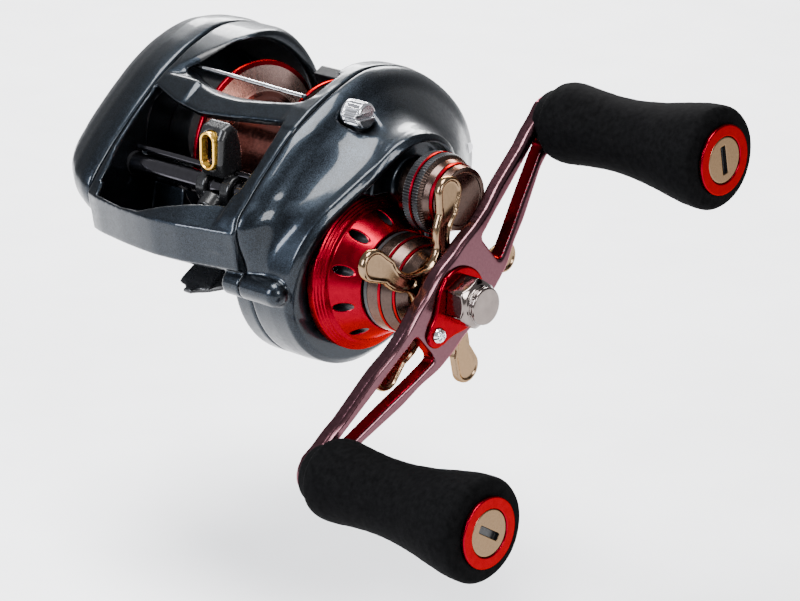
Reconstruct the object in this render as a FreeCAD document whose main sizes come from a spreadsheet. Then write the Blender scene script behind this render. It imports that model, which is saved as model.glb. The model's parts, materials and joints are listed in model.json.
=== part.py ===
import FreeCAD, Part
import math
import os
import re
import Sketcher
from FreeCAD import Placement, Rotation, Vector

# Low-profile baitcasting reel with its crank on the +Y side.
# Origin: underside of the reel foot, below the spool's axis.
# +X points forward (line leaves the reel), +Y to the handle, +Z up. Millimetres.

DIMENSIONS = {
    # axes that everything turns about, all parallel to Y
    "spool_z": 24.86,
    "gear_x": 10.25,
    "gear_z": 7.0,
    "worm_x": 24.08,
    "worm_z": 22.47,
    "rod_x": 23.6,
    "rod_z": 26.4,
    # frame and covers
    "plate_in": 13.4,
    "parting": 18.6,
    "palm_in": 14.0,
    "palm_out": 28.0,
    "palm_cap": 46.5,
    "bore_radius": 20.8,
    "housing_radius": 21.8,
    "housing_face": 33.2,
    "cavity_radius": 19.3,
    "seat_depth": 31.6,
    "boss_face": 38.4,
    "floor_low": 2.4,
    "floor_high": 4.4,
    # spool
    "spool_radius": 19.2,
    "spool_half": 12.65,
    "arbor_radius": 10.5,
    "shaft_radius": 1.5,
    "running": 0.05,
    # gear train
    "gear_teeth": 64,
    "pinion_teeth": 10,
    "drive_teeth": 32,
    "idler_teeth": 18,
    "worm_teeth": 15,
    "train_module": 0.5,
    "train_angle": 48.2,
    "idler_reach": 12.5,
    "yoke_turn": -29.85,
    "yoke_reach": 7.5,
    "drive_radius": 3.5,
    "journal_radius": 2.5,
    # handle and knobs
    "handle_angle": 41.19,
    "crank": 47.5,
    "handle_face": 60.0,
    "handle_drop": 5.0,
    "handle_thick": 3.5,
    "boss_radius": 4.9,
    "post_radius": 1.9,
    "knob_in": 56.2,
    "knob_end": 101.8,
    "grip_radius": 11.1,
    "waist_radius": 8.0,
    "core_radius": 5.2,
    # drag star, cover disc and cast control
    "disc_radius": 17.3,
    "disc_face": 33.7,
    "cone_radius": 11.2,
    "cone_face": 41.8,
    "star_radius": 25.2,
    "star_back": 51.7,
    "star_turn": 28.0,
    "tension_radius": 9.0,
    "tension_face": 51.3,
    "thumbscrew_x": 6.4,
    "thumbscrew_z": 40.2,
    # line guide, thumb bar, foot and fasteners
    "slot_turn": -50.0,
    "lug_x": 32.6,
    "lug_z": 5.8,
    "lug_radius": 2.9,
    "screw_radius": 1.2,
    "guide_y": 2.5,
    "tube_radius": 2.65,
    "foot_half": 32.5,
    "foot_width": 14.0,
}

doc = FreeCAD.newDocument("BaitcastingReel")
sheet = doc.addObject("Spreadsheet::Sheet", "Sizes")
for row, (alias, number) in enumerate(DIMENSIONS.items(), start=1):
    sheet.set("A%d" % row, alias)
    sheet.set("B%d" % row, str(number))
    sheet.setAlias("B%d" % row, alias)
doc.recompute()

WORDS = re.compile(r"\b(?!cos|sin)[a-z]\w*")
AXES = {
    "spool": ("0", "spool_z"),
    "gear": ("gear_x", "gear_z"),
    "worm": ("worm_x", "worm_z"),
    "rod": ("rod_x", "rod_z"),
    "idler": ("gear_x + idler_reach * cos(train_angle)", "gear_z + idler_reach * sin(train_angle)"),
    "lower": ("gear_x + crank * cos(handle_angle)", "gear_z - crank * sin(handle_angle)"),
    "upper": ("gear_x - crank * cos(handle_angle)", "gear_z + crank * sin(handle_angle)"),
    "thumbscrew": ("thumbscrew_x", "thumbscrew_z"),
    "none": ("0", "0"),
}
NODES = {}


def linked(text):
    """The same sum, reading its words from the sheet."""
    return WORDS.sub(lambda word: "Sizes." + word.group(0), str(text))


def size(text):
    """What a sum of the sheet's words comes to."""
    return float(sheet.evalExpression(str(text)))


def node(label, thing):
    """Names a finished sub-part; the label is also its file's name."""
    thing.Label = label
    NODES[label] = thing
    return thing


def new_body(name, axis="none", y="0", turn=None):
    """An empty body whose origin lies on one of the reel's axes, turned about Y if asked."""
    body = doc.addObject("PartDesign::Body", name)
    body.AllowCompound = True
    x, z = AXES[axis]
    body.Placement = Placement(Vector(size(x), size(y), size(z)), Rotation())
    for side, text in (("x", x), ("y", y), ("z", z)):
        body.setExpression("Placement.Base." + side, linked(text))
    if turn is not None:
        body.Placement.Rotation = Rotation(Vector(0, 1, 0), size(turn))
        body.setExpression("Placement.Rotation.Angle", linked(turn))
    return body


def new_sketch(body, plane, height="0"):
    """A sketch on an origin plane, moved along the plane's own normal."""
    sketch = body.newObject("Sketcher::SketchObject", body.Name + "_sketch")
    base = [each for each in body.Origin.OriginFeatures if each.Role == plane][0]
    sketch.AttachmentSupport = [(base, "")]
    sketch.MapMode = "FlatFace"
    sketch.AttachmentOffset = Placement(Vector(0, 0, size(height)), Rotation())
    sketch.setExpression("AttachmentOffset.Base.z", linked(height))
    return sketch


def hold(sketch, geometry, point, u, v):
    """Binds one point of a sketch to the sheet, measured from the origin."""
    for kind, text, axis in (("DistanceX", u, -2), ("DistanceY", v, -1)):
        if abs(size(text)) < 1e-9:
            sketch.addConstraint(Sketcher.Constraint("PointOnObject", geometry, point, axis))
            continue
        rule = Sketcher.Constraint(kind, -1, 1, geometry, point, size(text))
        index = sketch.addConstraint(rule)
        sketch.setExpression("Constraints[%d]" % index, linked(text))


def outline(sketch, corners):
    """A closed outline. A corner of four numbers is reached along an arc through the last two."""
    first = sketch.GeometryCount
    count = len(corners)
    places = [Vector(size(corner[0]), size(corner[1]), 0) for corner in corners]
    ends = []
    for i, corner in enumerate(corners):
        start, end = places[i - 1], places[i]
        if len(corner) == 4:
            via = Vector(size(corner[2]), size(corner[3]), 0)
            forward = (via - start).cross(end - via).z > 0
            arc = Part.Arc(start, via, end) if forward else Part.Arc(end, via, start)
            sketch.addGeometry(arc, False)
        else:
            forward = True
            sketch.addGeometry(Part.LineSegment(start, end), False)
        ends.append((1, 2) if forward else (2, 1))
    for i in range(count):
        after = (i + 1) % count
        sketch.addConstraint(Sketcher.Constraint(
            "Coincident", first + i, ends[i][1], first + after, ends[after][0]))
        hold(sketch, first + i, ends[i][1], corners[i][0], corners[i][1])


def circle(sketch, u, v, radius):
    """A circle whose centre and radius are bound to the sheet."""
    shape = Part.Circle(Vector(size(u), size(v), 0), Vector(0, 0, 1), size(radius))
    index = sketch.addGeometry(shape, False)
    rule = sketch.addConstraint(Sketcher.Constraint("Radius", index, size(radius)))
    sketch.setExpression("Constraints[%d]" % rule, linked(radius))
    hold(sketch, index, 3, u, v)


def smooth(sketch, points, scale=1.0, centre=(0.0, 0.0)):
    """A closed smooth curve through points, shrunk towards a centre."""
    cu, cv = centre
    curve = Part.BSplineCurve()
    curve.interpolate([Vector(cu + (u - cu) * scale, cv + (v - cv) * scale, 0) for u, v in points],
                      PeriodicFlag=True)
    sketch.addGeometry(curve, False)


def feature(body, kind, sketch, length=None, reverse=False):
    """Pads or pockets a sketch and makes sure that the volume changed the right way."""
    before = body.Shape.Volume if not body.Shape.isNull() else 0.0
    made = body.newObject(kind, body.Name + "_" + kind.split("::")[1].lower())
    made.Profile = sketch
    if length is not None:
        made.Length = size(length)
        made.setExpression("Length", linked(length))
    made.Reversed = reverse
    doc.recompute()
    grows = kind == "PartDesign::Pad"
    if (body.Shape.Volume - before) * (1 if grows else -1) <= 0:
        raise RuntimeError("%s did not change %s the right way" % (kind, body.Name))
    return made


def pad_y(body, low, high, draw):
    """Adds a shape drawn in X and Z, from one Y to another."""
    sketch = new_sketch(body, "XZ_Plane", "-(%s)" % low)
    draw(sketch)
    return feature(body, "PartDesign::Pad", sketch, "(%s) - (%s)" % (high, low), reverse=True)


def cut_y(body, low, high, draw):
    """Removes a shape drawn in X and Z, from one Y to another."""
    sketch = new_sketch(body, "XZ_Plane", "-(%s)" % low)
    draw(sketch)
    return feature(body, "PartDesign::Pocket", sketch, "(%s) - (%s)" % (high, low))


def pad_z(body, low, high, draw):
    """Adds a shape drawn in X and Y, from one Z to another."""
    sketch = new_sketch(body, "XY_Plane", low)
    draw(sketch)
    return feature(body, "PartDesign::Pad", sketch, "(%s) - (%s)" % (high, low))


def cut_z(body, low, high, draw):
    """Removes a shape drawn in X and Y, from one Z to another."""
    sketch = new_sketch(body, "XY_Plane", high)
    draw(sketch)
    return feature(body, "PartDesign::Pocket", sketch, "(%s) - (%s)" % (high, low))


def pad_x(body, low, high, draw):
    """Adds a shape drawn in Y and Z, from one X to another."""
    sketch = new_sketch(body, "YZ_Plane", low)
    draw(sketch)
    return feature(body, "PartDesign::Pad", sketch, "(%s) - (%s)" % (high, low))


def cut_x(body, low, high, draw):
    """Removes a shape drawn in Y and Z, from one X to another."""
    sketch = new_sketch(body, "YZ_Plane", high)
    draw(sketch)
    return feature(body, "PartDesign::Pocket", sketch, "(%s) - (%s)" % (high, low))


def turned(label, axis, *outlines, turn=None):
    """A piece turned on a lathe about one of the axes: corners are radius and Y."""
    body = new_body(label + "_body", axis, turn=turn)
    sketch = new_sketch(body, "XY_Plane")
    for corners in outlines:
        outline(sketch, corners)
    made = body.newObject("PartDesign::Revolution", label + "_turning")
    made.Profile = sketch
    made.ReferenceAxis = (sketch, ["V_Axis"])
    made.Angle = 360.0
    doc.recompute()
    return node(label, body)


def ring(inner, outer, low, high):
    """The outline of a plain ring or, from radius 0, of a disc."""
    return [(inner, low), (outer, low), (outer, high), (inner, high)]


def oval(sketch, half_width, half_height, middle="9.3"):
    """An upright slot shape in Y and Z round the line's path."""
    straight = "(%s) - (%s)" % (half_height, half_width)
    top, bottom = "%s + %s" % (middle, straight), "%s - (%s)" % (middle, straight)
    outline(sketch, [("-(%s)" % half_width, bottom),
                     (half_width, bottom, "0", "%s - (%s)" % (middle, half_height)),
                     (half_width, top),
                     ("-(%s)" % half_width, top, "0", "%s + %s" % (middle, half_height))])


THUMB_SLOT = [("-27.3", "24.9"), ("-23.7", "24.9"), ("-23.7", "33.4"), ("-27.3", "33.4")]
COVER_SCREWS = (("-31.5", "24.5"), ("lug_x", "lug_z"), ("-17", "2"))
FOOT_SCREWS = ("-9", "9")

# Outlines of the two side plates in X and Z, forward of the nose first.
HANDLE_SIDE = [(36.2, 19.0), (31.5, 25.5), (25.5, 31.4), (19.4, 36.7), (13.3, 40.6), (5.5, 44.6),
               (-5.0, 47.4), (-17.0, 45.2), (-27.5, 38.8), (-35.0, 30.0), (-37.4, 20.0),
               (-33.5, 10.0), (-23.0, 1.5), (-8.0, -6.0), (10.0, -9.5), (25.0, -4.5), (33.0, 9.0)]
PALM_SIDE = [(36.2, 19.0), (31.5, 25.9), (25.5, 31.9), (19.4, 37.4), (12.5, 42.2), (4.0, 46.8),
             (-6.0, 49.5), (-17.5, 47.0), (-27.5, 39.8), (-34.5, 30.0), (-36.6, 20.0),
             (-33.0, 9.5), (-22.0, 3.0), (-6.0, 2.4), (12.0, 5.0), (26.0, 8.6), (34.0, 12.0)]
COVER_CENTRE = (-1.0, 24.0)


def shell_loft(body, outline_points, stations):
    """A domed cover: the outline shrinks and climbs from one Y to the next."""
    sketches = []
    for height, scale, climb in stations:
        sketch = new_sketch(body, "XZ_Plane", "-(%s)" % height)
        raised = [(x, z + climb) for x, z in outline_points]
        smooth(sketch, raised, scale, (COVER_CENTRE[0], COVER_CENTRE[1] + climb))
        sketches.append(sketch)
    loft = body.newObject("PartDesign::AdditiveLoft", body.Name + "_dome")
    loft.Profile = sketches[0]
    loft.Sections = sketches[1:]
    loft.Ruled = True
    doc.recompute()
    return loft


def make_frame():
    body = new_body("frame_body")
    pad_y(body, "plate_in", "parting", lambda s: smooth(s, HANDLE_SIDE))
    pad_y(body, "plate_in", "parting", lambda s: circle(s, "gear_x", "gear_z", "housing_radius"))
    pad_y(body, "-palm_out", "-palm_in", lambda s: smooth(s, PALM_SIDE))

    hood = [("9.2", "42.2"), ("13.3", "40.1"), ("20.0", "35.6"), ("18.6", "33.9"),
            ("10.3", "41.3", "14.7", "38.1")]
    pad_y(body, "-palm_in", "plate_in", lambda s: outline(s, hood))

    nose = [("31", "9.6"), ("34.2", "9.9"), ("39.4", "12.3"), ("40.8", "18.2"), ("36.4", "22.2"),
            ("34.4", "20.6"), ("36.6", "17.2"), ("35.2", "13.8"), ("31", "12.2")]
    pad_y(body, "-palm_out", "parting", lambda s: outline(s, nose))
    floor = [("-26", "floor_low"), ("12", "floor_low"), ("22", "6.2"), ("33.5", "9.9"), ("33", "12"),
             ("20", "8"), ("12", "floor_high"), ("-26", "floor_high")]
    pad_y(body, "-palm_in", "plate_in", lambda s: outline(s, floor))
    rear = [("-33", "7"), ("-27.5", "floor_low"), ("-21", "floor_low"), ("-22.6", "9"), ("-24.6", "20"),
            ("-33.5", "20")]
    pad_y(body, "-palm_in", "plate_in", lambda s: outline(s, rear))

    bow = [("50", "-palm_out - 1"), ("36.4", "-palm_out - 1"), ("36.0", "parting + 1", "40.9", "-4"),
           ("50", "parting + 1")]
    cut_z(body, "0", "30", lambda s: outline(s, bow))

    cut_y(body, "-palm_out - 1", "-palm_in + 1", lambda s: circle(s, "0", "spool_z", "bore_radius"))
    mouth = [("18.6", "34.2"), ("20.2", "36.2"), ("27", "38"), ("38", "24"), ("36.4", "21.6"),
             ("34.4", "20.4"), ("36.0", "17.4"), ("34.6", "14.2"), ("30", "12.8"), ("20", "10.4"),
             ("18.5", "20")]
    cut_y(body, "-palm_out + 2.6", "-palm_in + 0.5", lambda s: outline(s, mouth))
    cut_y(body, "plate_in - 1", "plate_in + 1.6", lambda s: circle(s, "0", "spool_z", "bore_radius"))
    cut_y(body, "plate_in - 1", "parting + 1", lambda s: circle(s, "0", "spool_z", "4.4"))
    cut_y(body, "plate_in + 0.6", "parting + 1", lambda s: circle(s, "gear_x", "gear_z", "5.0"))
    cut_y(body, "plate_in - 1", "parting + 1", lambda s: circle(s, "worm_x", "worm_z", "2.9"))
    cut_y(body, "-palm_out + 1.0", "-palm_out + 2.6", lambda s: circle(s, "worm_x", "worm_z", "2.9"))
    pad_y(body, "plate_in", "parting", lambda s: circle(s, "lug_x", "lug_z", "lug_radius"))
    for x, z in COVER_SCREWS:
        cut_y(body, "plate_in - 1", "plate_in + 1.7", lambda s: circle(s, x, z, "2.1"))
        cut_y(body, "plate_in", "parting + 1", lambda s: circle(s, x, z, "screw_radius + running"))
    cut_y(body, "plate_in + 2", "parting + 1",
          lambda s: circle(s, "thumbscrew_x", "thumbscrew_z", "screw_radius + running"))
    cut_y(body, "plate_in - 1", "17.2", lambda s: outline(s, THUMB_SLOT))
    for x in FOOT_SCREWS:
        cut_z(body, "floor_low - 1", "floor_high - 0.2",
              lambda s: circle(s, x, "0", "screw_radius + running"))
    return node("frame", body)


def make_foot():
    body = new_body("foot_body")
    plan = [("foot_half - 4", "-4.2"), ("foot_half - 4", "4.2", "foot_half", "0"),
            ("9", "foot_width / 2"), ("-9", "foot_width / 2"),
            ("4 - foot_half", "4.2"), ("4 - foot_half", "-4.2", "-foot_half", "0"),
            ("-9", "-foot_width / 2"), ("9", "-foot_width / 2")]
    pad_z(body, "0", "floor_low", lambda s: outline(s, plan))
    for side in ("", "-"):
        wedge = [(side + "14", "floor_low + 1"), (side + "14", "floor_low"),
                 (side + "foot_half * 1.02", "1.1"), (side + "foot_half * 1.02", "floor_low + 1")]
        cut_y(body, "-foot_width", "foot_width", lambda s: outline(s, wedge))
    stem = [("foot_half - 18", "floor_low - 1"), ("foot_half - 3.5", "floor_low - 1"),
            ("foot_half - 5", "5.5"), ("foot_half - 18", "floor_low + 0.2")]
    pad_y(body, "-5", "5", lambda s: outline(s, stem))
    for x in FOOT_SCREWS:
        cut_z(body, "-1", "1.5", lambda s: circle(s, x, "0", "2.3"))
        cut_z(body, "0", "floor_low + 1", lambda s: circle(s, x, "0", "screw_radius + running"))
    node("reel_foot", body)

    screws = new_body("foot_screws_body")
    for x in FOOT_SCREWS:
        pad_z(screws, "0.5", "1.5", lambda s: circle(s, x, "0", "2.2"))
        pad_z(screws, "1.5", "floor_high - 0.3", lambda s: circle(s, x, "0", "screw_radius"))
    node("foot_screws", screws)


def make_palm_cover():
    body = new_body("palm_cover_body")
    shell_loft(body, PALM_SIDE, (
        ("-palm_out", 1.0, 0), ("-palm_out - 4", 0.995, 0.6), ("-palm_out - 7", 0.97, 1.3),
        ("-palm_out - 10", 0.92, 2.0), ("-palm_out - 13", 0.84, 2.7), ("-palm_out - 16", 0.69, 3.4),
        ("-palm_cap", 0.4, 3.8)))
    cut_y(body, "-palm_out - 3", "-palm_out + 1", lambda s: circle(s, "0", "spool_z", "19.4"))
    pad_y(body, "-palm_out - 3", "-palm_out + 2.5",
          lambda s: circle(s, "0", "spool_z", "bore_radius - running"))
    cut_y(body, "-palm_out - 3", "-palm_out + 3", lambda s: circle(s, "0", "spool_z", "19.4"))
    pad_y(body, "-palm_out - 3.2", "-22", lambda s: circle(s, "0", "spool_z", "6.0"))
    cut_y(body, "-26.2", "-21", lambda s: circle(s, "0", "spool_z", "4.5"))
    node("palm_side_cover", body)


def make_handle_cover():
    body = new_body("handle_cover_body")
    shell_loft(body, HANDLE_SIDE, (
        ("parting", 1.0, 0), ("20.6", 0.965, 0), ("23.2", 0.87, 0), ("26.5", 0.75, 0), ("31", 0.61, 0),
        ("35", 0.47, 0), ("37", 0.36, 0)))
    pad_y(body, "parting", "housing_face", lambda s: circle(s, "gear_x", "gear_z", "housing_radius"))
    pad_y(body, "parting", "boss_face", lambda s: circle(s, "0", "spool_z", "12.4"))
    pad_y(body, "parting", "30", lambda s: circle(s, "lug_x", "lug_z", "lug_radius"))
    cut_y(body, "seat_depth", "boss_face + 2",
          lambda s: circle(s, "gear_x", "gear_z", "disc_radius + 0.15"))
    pad_y(body, "36.4", "47", lambda s: circle(s, "0", "spool_z", "6.0"))
    cut_y(body, "parting - 1", "29.6", lambda s: circle(s, "gear_x", "gear_z", "cavity_radius"))
    cut_y(body, "parting - 1", "seat_depth + 1", lambda s: circle(s, "gear_x", "gear_z", "14.0"))
    cut_y(body, "parting - 1", "35.4", lambda s: circle(s, "0", "spool_z", "10.6"))
    cut_y(body, "parting - 1", "48", lambda s: circle(s, "0", "spool_z", "4.0"))
    cut_y(body, "parting - 1", "22", lambda s: circle(s, "worm_x", "worm_z", "5.0"))
    for x, z in COVER_SCREWS:
        cut_y(body, "parting - 1", "24.4", lambda s: circle(s, x, z, "screw_radius + running"))
    cut_y(body, "parting - 1", "40",
          lambda s: circle(s, "thumbscrew_x", "thumbscrew_z", "screw_radius + running"))
    cut_y(body, "23.5", "40", lambda s: circle(s, "thumbscrew_x", "thumbscrew_z", "3.4"))
    node("handle_side_cover", body)

    screws = new_body("cover_screws_body")
    for x, z in COVER_SCREWS:
        pad_y(screws, "plate_in + 0.2", "plate_in + 1.6", lambda s: circle(s, x, z, "2.0"))
        pad_y(screws, "plate_in + 1.6", "24", lambda s: circle(s, x, z, "screw_radius"))
    node("side_cover_screws", screws)


def make_gear_cover():
    """Stepped red disc whose cone rises to the throat that holds the anti-reverse clutch."""
    body = turned("gear_cover", "gear", [
        ("14.1", "seat_depth"), ("disc_radius", "seat_depth"), ("disc_radius", "disc_face"),
        ("disc_radius - 0.6", "disc_face"), ("disc_radius - 0.6", "disc_face + 0.5"),
        ("disc_radius - 1.2", "disc_face + 0.5"), ("disc_radius - 1.2", "disc_face + 1"),
        ("disc_radius - 1.8", "disc_face + 1"), ("disc_radius - 1.8", "disc_face + 1.5"),
        ("cone_radius", "cone_face"), ("9.5", "cone_face"), ("9.5", "cone_face - 6"),
        ("14.1", "disc_face")])
    vents = 10
    cut_y(body, "disc_face", "cone_face", lambda s: [
        circle(s, "13.4 * cos(%d)" % turn, "13.4 * sin(%d)" % turn, "0.95")
        for turn in range(18, 378, 360 // vents)])


def make_bearings():
    turned("drive_shaft_bearing", "gear", ring("journal_radius + running", "4.95", "plate_in + 0.6", "17.6"))
    turned("anti_reverse_bearing", "gear", ring("4.55", "9.45", "36.4", "cone_face - 0.4"))
    turned("spool_bearings", "spool", ring("shaft_radius + running", "4.45", "-26.1", "-23.2"),
           ring("shaft_radius + running", "3.95", "40", "43"))
    turned("brake_ring", "spool", ring("6.05", "9.5", "-30.8", "-24.5"))
    turned("worm_bushes", "worm", ring("1.25", "2.85", "-palm_out + 1.1", "-palm_out + 2.6"),
           ring("1.25", "2.85", "plate_in + 0.2", "parting - 0.2"))
    turned("idler_stud", "idler", [("0", "parting"), ("1.2", "parting"), ("1.2", "21.4"),
                                   ("2", "21.4"), ("2", "22.2"), ("0", "22.2")])


def make_level_wind():
    tube = turned("worm_tube", "worm", ring("2.1", "tube_radius", "-palm_out + 2.6", "plate_in"),
                  turn="slot_turn")
    slot = [("-0.8", "-13"), ("0.8", "-13"), ("0.8", "12.6"), ("-0.8", "12.6")]
    cut_z(tube, "-4", "0", lambda s: outline(s, slot))
    turned("guide_rod", "rod", ring("0", "0.8", "-palm_out + 2.6", "plate_in"))
    turned("worm_shaft", "worm", [("0", "-26.8"), ("1.2", "-26.8"), ("1.2", "-25.2"), ("1.95", "-25.2"),
                                  ("1.95", "13.2"), ("1.2", "13.2"), ("1.2", "21.8"), ("0", "21.8")])

    body = new_body("carriage_body", "worm", "guide_y")
    block = [("-2.6", "3.6"), ("3.4", "3.6"), ("4.4", "6"), ("4.2", "13"),
             ("-1.4", "13.4", "1.6", "15.6"), ("-2.6", "9")]
    pad_y(body, "-3.9", "3.9", lambda s: outline(s, block))
    for low in ("-5.2", "2.4"):
        pad_y(body, low, low + " + 2.8", lambda s: circle(s, "0", "0", "3.9"))
    cut_y(body, "-9", "9", lambda s: circle(s, "0", "0", "tube_radius + running"))
    cut_y(body, "-9", "9", lambda s: circle(s, "rod_x - worm_x", "rod_z - worm_z", "0.86"))
    cut_x(body, "-5", "6", lambda s: oval(s, "2.35", "4.35"))
    nose = new_body("carriage_nose", "worm", "guide_y", "slot_turn")
    pad_z(nose, "-6.4", "-3.2", lambda s: circle(s, "0", "0", "3.0"))
    whole = doc.addObject("Part::Fuse", "carriage_whole")
    whole.Base, whole.Tool = body, nose
    drill = new_body("carriage_drill", "worm", "guide_y", "slot_turn")
    pad_z(drill, "-7", "-3.2", lambda s: circle(s, "0", "0", "1.5"))
    pad_z(drill, "-4", "-2", lambda s: circle(s, "0", "0", "0.75"))
    carriage = doc.addObject("Part::Cut", "carriage")
    carriage.Base, carriage.Tool = whole, drill
    node("guide_carriage", carriage)

    insert = new_body("line_insert_body", "worm", "guide_y")
    pad_x(insert, "3.0", "4.9", lambda s: oval(s, "2.3", "4.3"))
    cut_x(insert, "2.0", "6", lambda s: oval(s, "1.7", "3.7"))
    node("line_insert", insert)

    pawl = new_body("guide_pawl_body", "worm", "guide_y", "slot_turn")
    pad_z(pawl, "-4.4", "-3.4", lambda s: circle(s, "0", "0", "1.3"))
    pad_z(pawl, "-3.4", "-2.0", lambda s: circle(s, "0", "0", "0.65"))
    node("guide_pawl", pawl)
    cap = new_body("pawl_cap_body", "worm", "guide_y", "slot_turn")
    pad_z(cap, "-6.6", "-4.5", lambda s: circle(s, "0", "0", "1.45"))
    cut_z(cap, "-7", "-6.1", lambda s: outline(s, [("-1.6", "-0.25"), ("1.6", "-0.25"),
                                                    ("1.6", "0.25"), ("-1.6", "0.25")]))
    node("pawl_cap", cap)


def gear(teeth, module, low, high, bore, tooth_at, addendum=1.0, dedendum=1.25, backlash=0.06):
    """A spur gear with involute flanks. tooth_at is one tooth's direction, from +X towards +Z."""
    steps = 5
    pressure = math.radians(20)
    pitch_radius = module * teeth / 2
    base_radius = pitch_radius * math.cos(pressure)
    tip, root = pitch_radius + addendum * module, pitch_radius - dedendum * module
    half = math.pi / (2 * teeth) - backlash / (2 * pitch_radius) + math.tan(pressure) - pressure
    flank = [(root, half)] if root < base_radius else []
    lowest = max(base_radius, root)
    for step in range(steps + 1):
        radius = lowest + (tip - lowest) * step / steps
        angle = math.acos(min(1.0, base_radius / radius))
        flank.append((radius, half - (math.tan(angle) - angle)))
    corners = []
    for tooth in range(teeth):
        middle = math.radians(tooth_at) + 2 * math.pi * tooth / teeth
        for radius, away in [(r, -a) for r, a in flank] + [(r, a) for r, a in reversed(flank)]:
            corners.append(Vector(radius * math.cos(middle + away), low,
                                  radius * math.sin(middle + away)))
    face = Part.Face(Part.makePolygon(corners + corners[:1]))
    solid = face.extrude(Vector(0, high - low, 0))
    return solid.cut(drill(bore, low - 1, high + 1)) if bore else solid


def drill(radius, low, high):
    """A cylinder along Y."""
    return Part.makeCylinder(radius, high - low, Vector(0, low, 0), Vector(0, 1, 0))


def place(label, axis, solid):
    """Keeps a shape made in place about one axis as a document object."""
    thing = doc.addObject("Part::Feature", label + "_shape")
    thing.Shape = solid
    x, z = AXES[axis]
    thing.Placement = Placement(Vector(size(x), 0, size(z)), Rotation())
    return node(label, thing)


def lathe(points):
    """A solid turned about Y, from radius and Y corners."""
    wire = Part.makePolygon([Vector(r, y, 0) for r, y in points + points[:1]])
    return Part.Face(wire).revolve(Vector(), Vector(0, 1, 0), 360)


def make_spool():
    turned("spool", "spool", [
        ("spool_radius", "-spool_half"), ("spool_radius", "1 - spool_half"),
        ("arbor_radius + 2", "2.0 - spool_half"), ("arbor_radius", "3.4 - spool_half"),
        ("arbor_radius", "spool_half - 3.4"), ("arbor_radius + 2", "spool_half - 2.0"),
        ("spool_radius", "spool_half - 1"), ("spool_radius", "spool_half"),
        ("arbor_radius - 1.5", "spool_half"), ("arbor_radius - 1.5", "2"), ("shaft_radius", "2"),
        ("shaft_radius", "-2"), ("arbor_radius - 1.5", "-2"), ("arbor_radius - 1.5", "-spool_half")])
    shaft = turned("spool_shaft", "spool", ring("0", "shaft_radius", "-26", "45.2"))
    cut_x(shaft, "-3", "3", lambda s: circle(s, "20.35", "0", "0.52"))
    turned("brake_hub", "spool", [
        ("shaft_radius", "-13.2"), ("7.5", "-13.2"), ("7.5", "-12.2"), ("3", "-12.2"), ("3", "-2.2"),
        ("shaft_radius", "-2.2")])
    pin = new_body("clutch_pin_body", "spool")
    pad_x(pin, "-3.3", "3.3", lambda s: circle(s, "20.35", "0", "0.5"))
    node("clutch_pin", pin)


def make_gear_train():
    reach = math.hypot(size("gear_x"), size("spool_z - gear_z"))
    toward_spool = math.degrees(math.atan2(size("spool_z - gear_z"), -size("gear_x")))
    wheel, pinion = int(size("gear_teeth")), int(size("pinion_teeth"))
    module = 2 * reach / (wheel + pinion)
    bore = size("drive_radius + 0.05")
    main = gear(wheel, module, 23.0, 27.5, bore, toward_spool, addendum=0.55)
    place("main_gear", "gear", main.cut(drill(12.9, 25.2, 28.0)))

    facing = toward_spool + 180 + 180 / pinion
    teeth = gear(pinion, module, 21.2, 30.0, 0, facing, dedendum=1.1)
    stem = lathe([(0, 19.6), (4.0, 19.6), (4.0, 21.2), (2.1, 21.2), (2.1, 31.6), (3.0, 31.6),
                  (3.0, 32.6), (2.4, 32.6), (2.4, 35.2), (0, 35.2)])
    clutch_slot = Part.makeBox(9, 1.5, 1.3, Vector(-4.5, 19.5, -0.65))
    bored = teeth.fuse(stem).cut(drill(size("shaft_radius + running"), 18, 38))
    place("pinion_gear", "spool", bored.cut(clutch_slot))

    small = size("train_module")
    along = size("train_angle")
    drive, idler, worm = (int(size(name)) for name in ("drive_teeth", "idler_teeth", "worm_teeth"))
    low, high = size("parting + 0.6"), size("parting + 2.6")
    keyed = size("drive_radius + 0.02")
    place("level_wind_gear", "gear", gear(drive, small, low, high, keyed, along))
    place("idler_gear", "idler", gear(idler, small, low, high, 1.25, along + 180 + 180 / idler))
    place("worm_gear", "worm", gear(worm, small, low, high, 1.22, along + 180))


def make_clutch():
    yoke = new_body("yoke_body", "spool", turn="yoke_turn")
    plate = [("-9.4", "-2.8"), ("9.4", "-2.8"), ("9.4", "2.6"), ("3.6", "4.2"), ("-3.6", "4.2"),
             ("-9.4", "2.6")]
    pad_y(yoke, "30.15", "31.45", lambda s: outline(s, plate))
    cut_y(yoke, "29", "33", lambda s: circle(s, "0", "0", "2.2"))
    mouth = [("-2.2", "0"), ("2.2", "0"), ("2.2", "5"), ("-2.2", "5")]
    cut_y(yoke, "29", "33", lambda s: outline(s, mouth))
    for side in ("yoke_reach", "-yoke_reach"):
        cut_y(yoke, "29", "33", lambda s: circle(s, side, "0", "0.98"))
    node("clutch_yoke", yoke)

    posts = new_body("yoke_posts_body", "spool", turn="yoke_turn")
    springs = new_body("yoke_springs_body", "spool", turn="yoke_turn")
    for side in ("yoke_reach", "-yoke_reach"):
        pad_y(posts, "parting", "35.3", lambda s: circle(s, side, "0", "0.9"))
        pad_y(springs, "33.2", "35.3", lambda s: circle(s, side, "0", "1.7"))
        cut_y(springs, "33", "35.4", lambda s: circle(s, side, "0", "1.1"))
    node("yoke_posts", posts)
    node("yoke_springs", springs)


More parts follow.
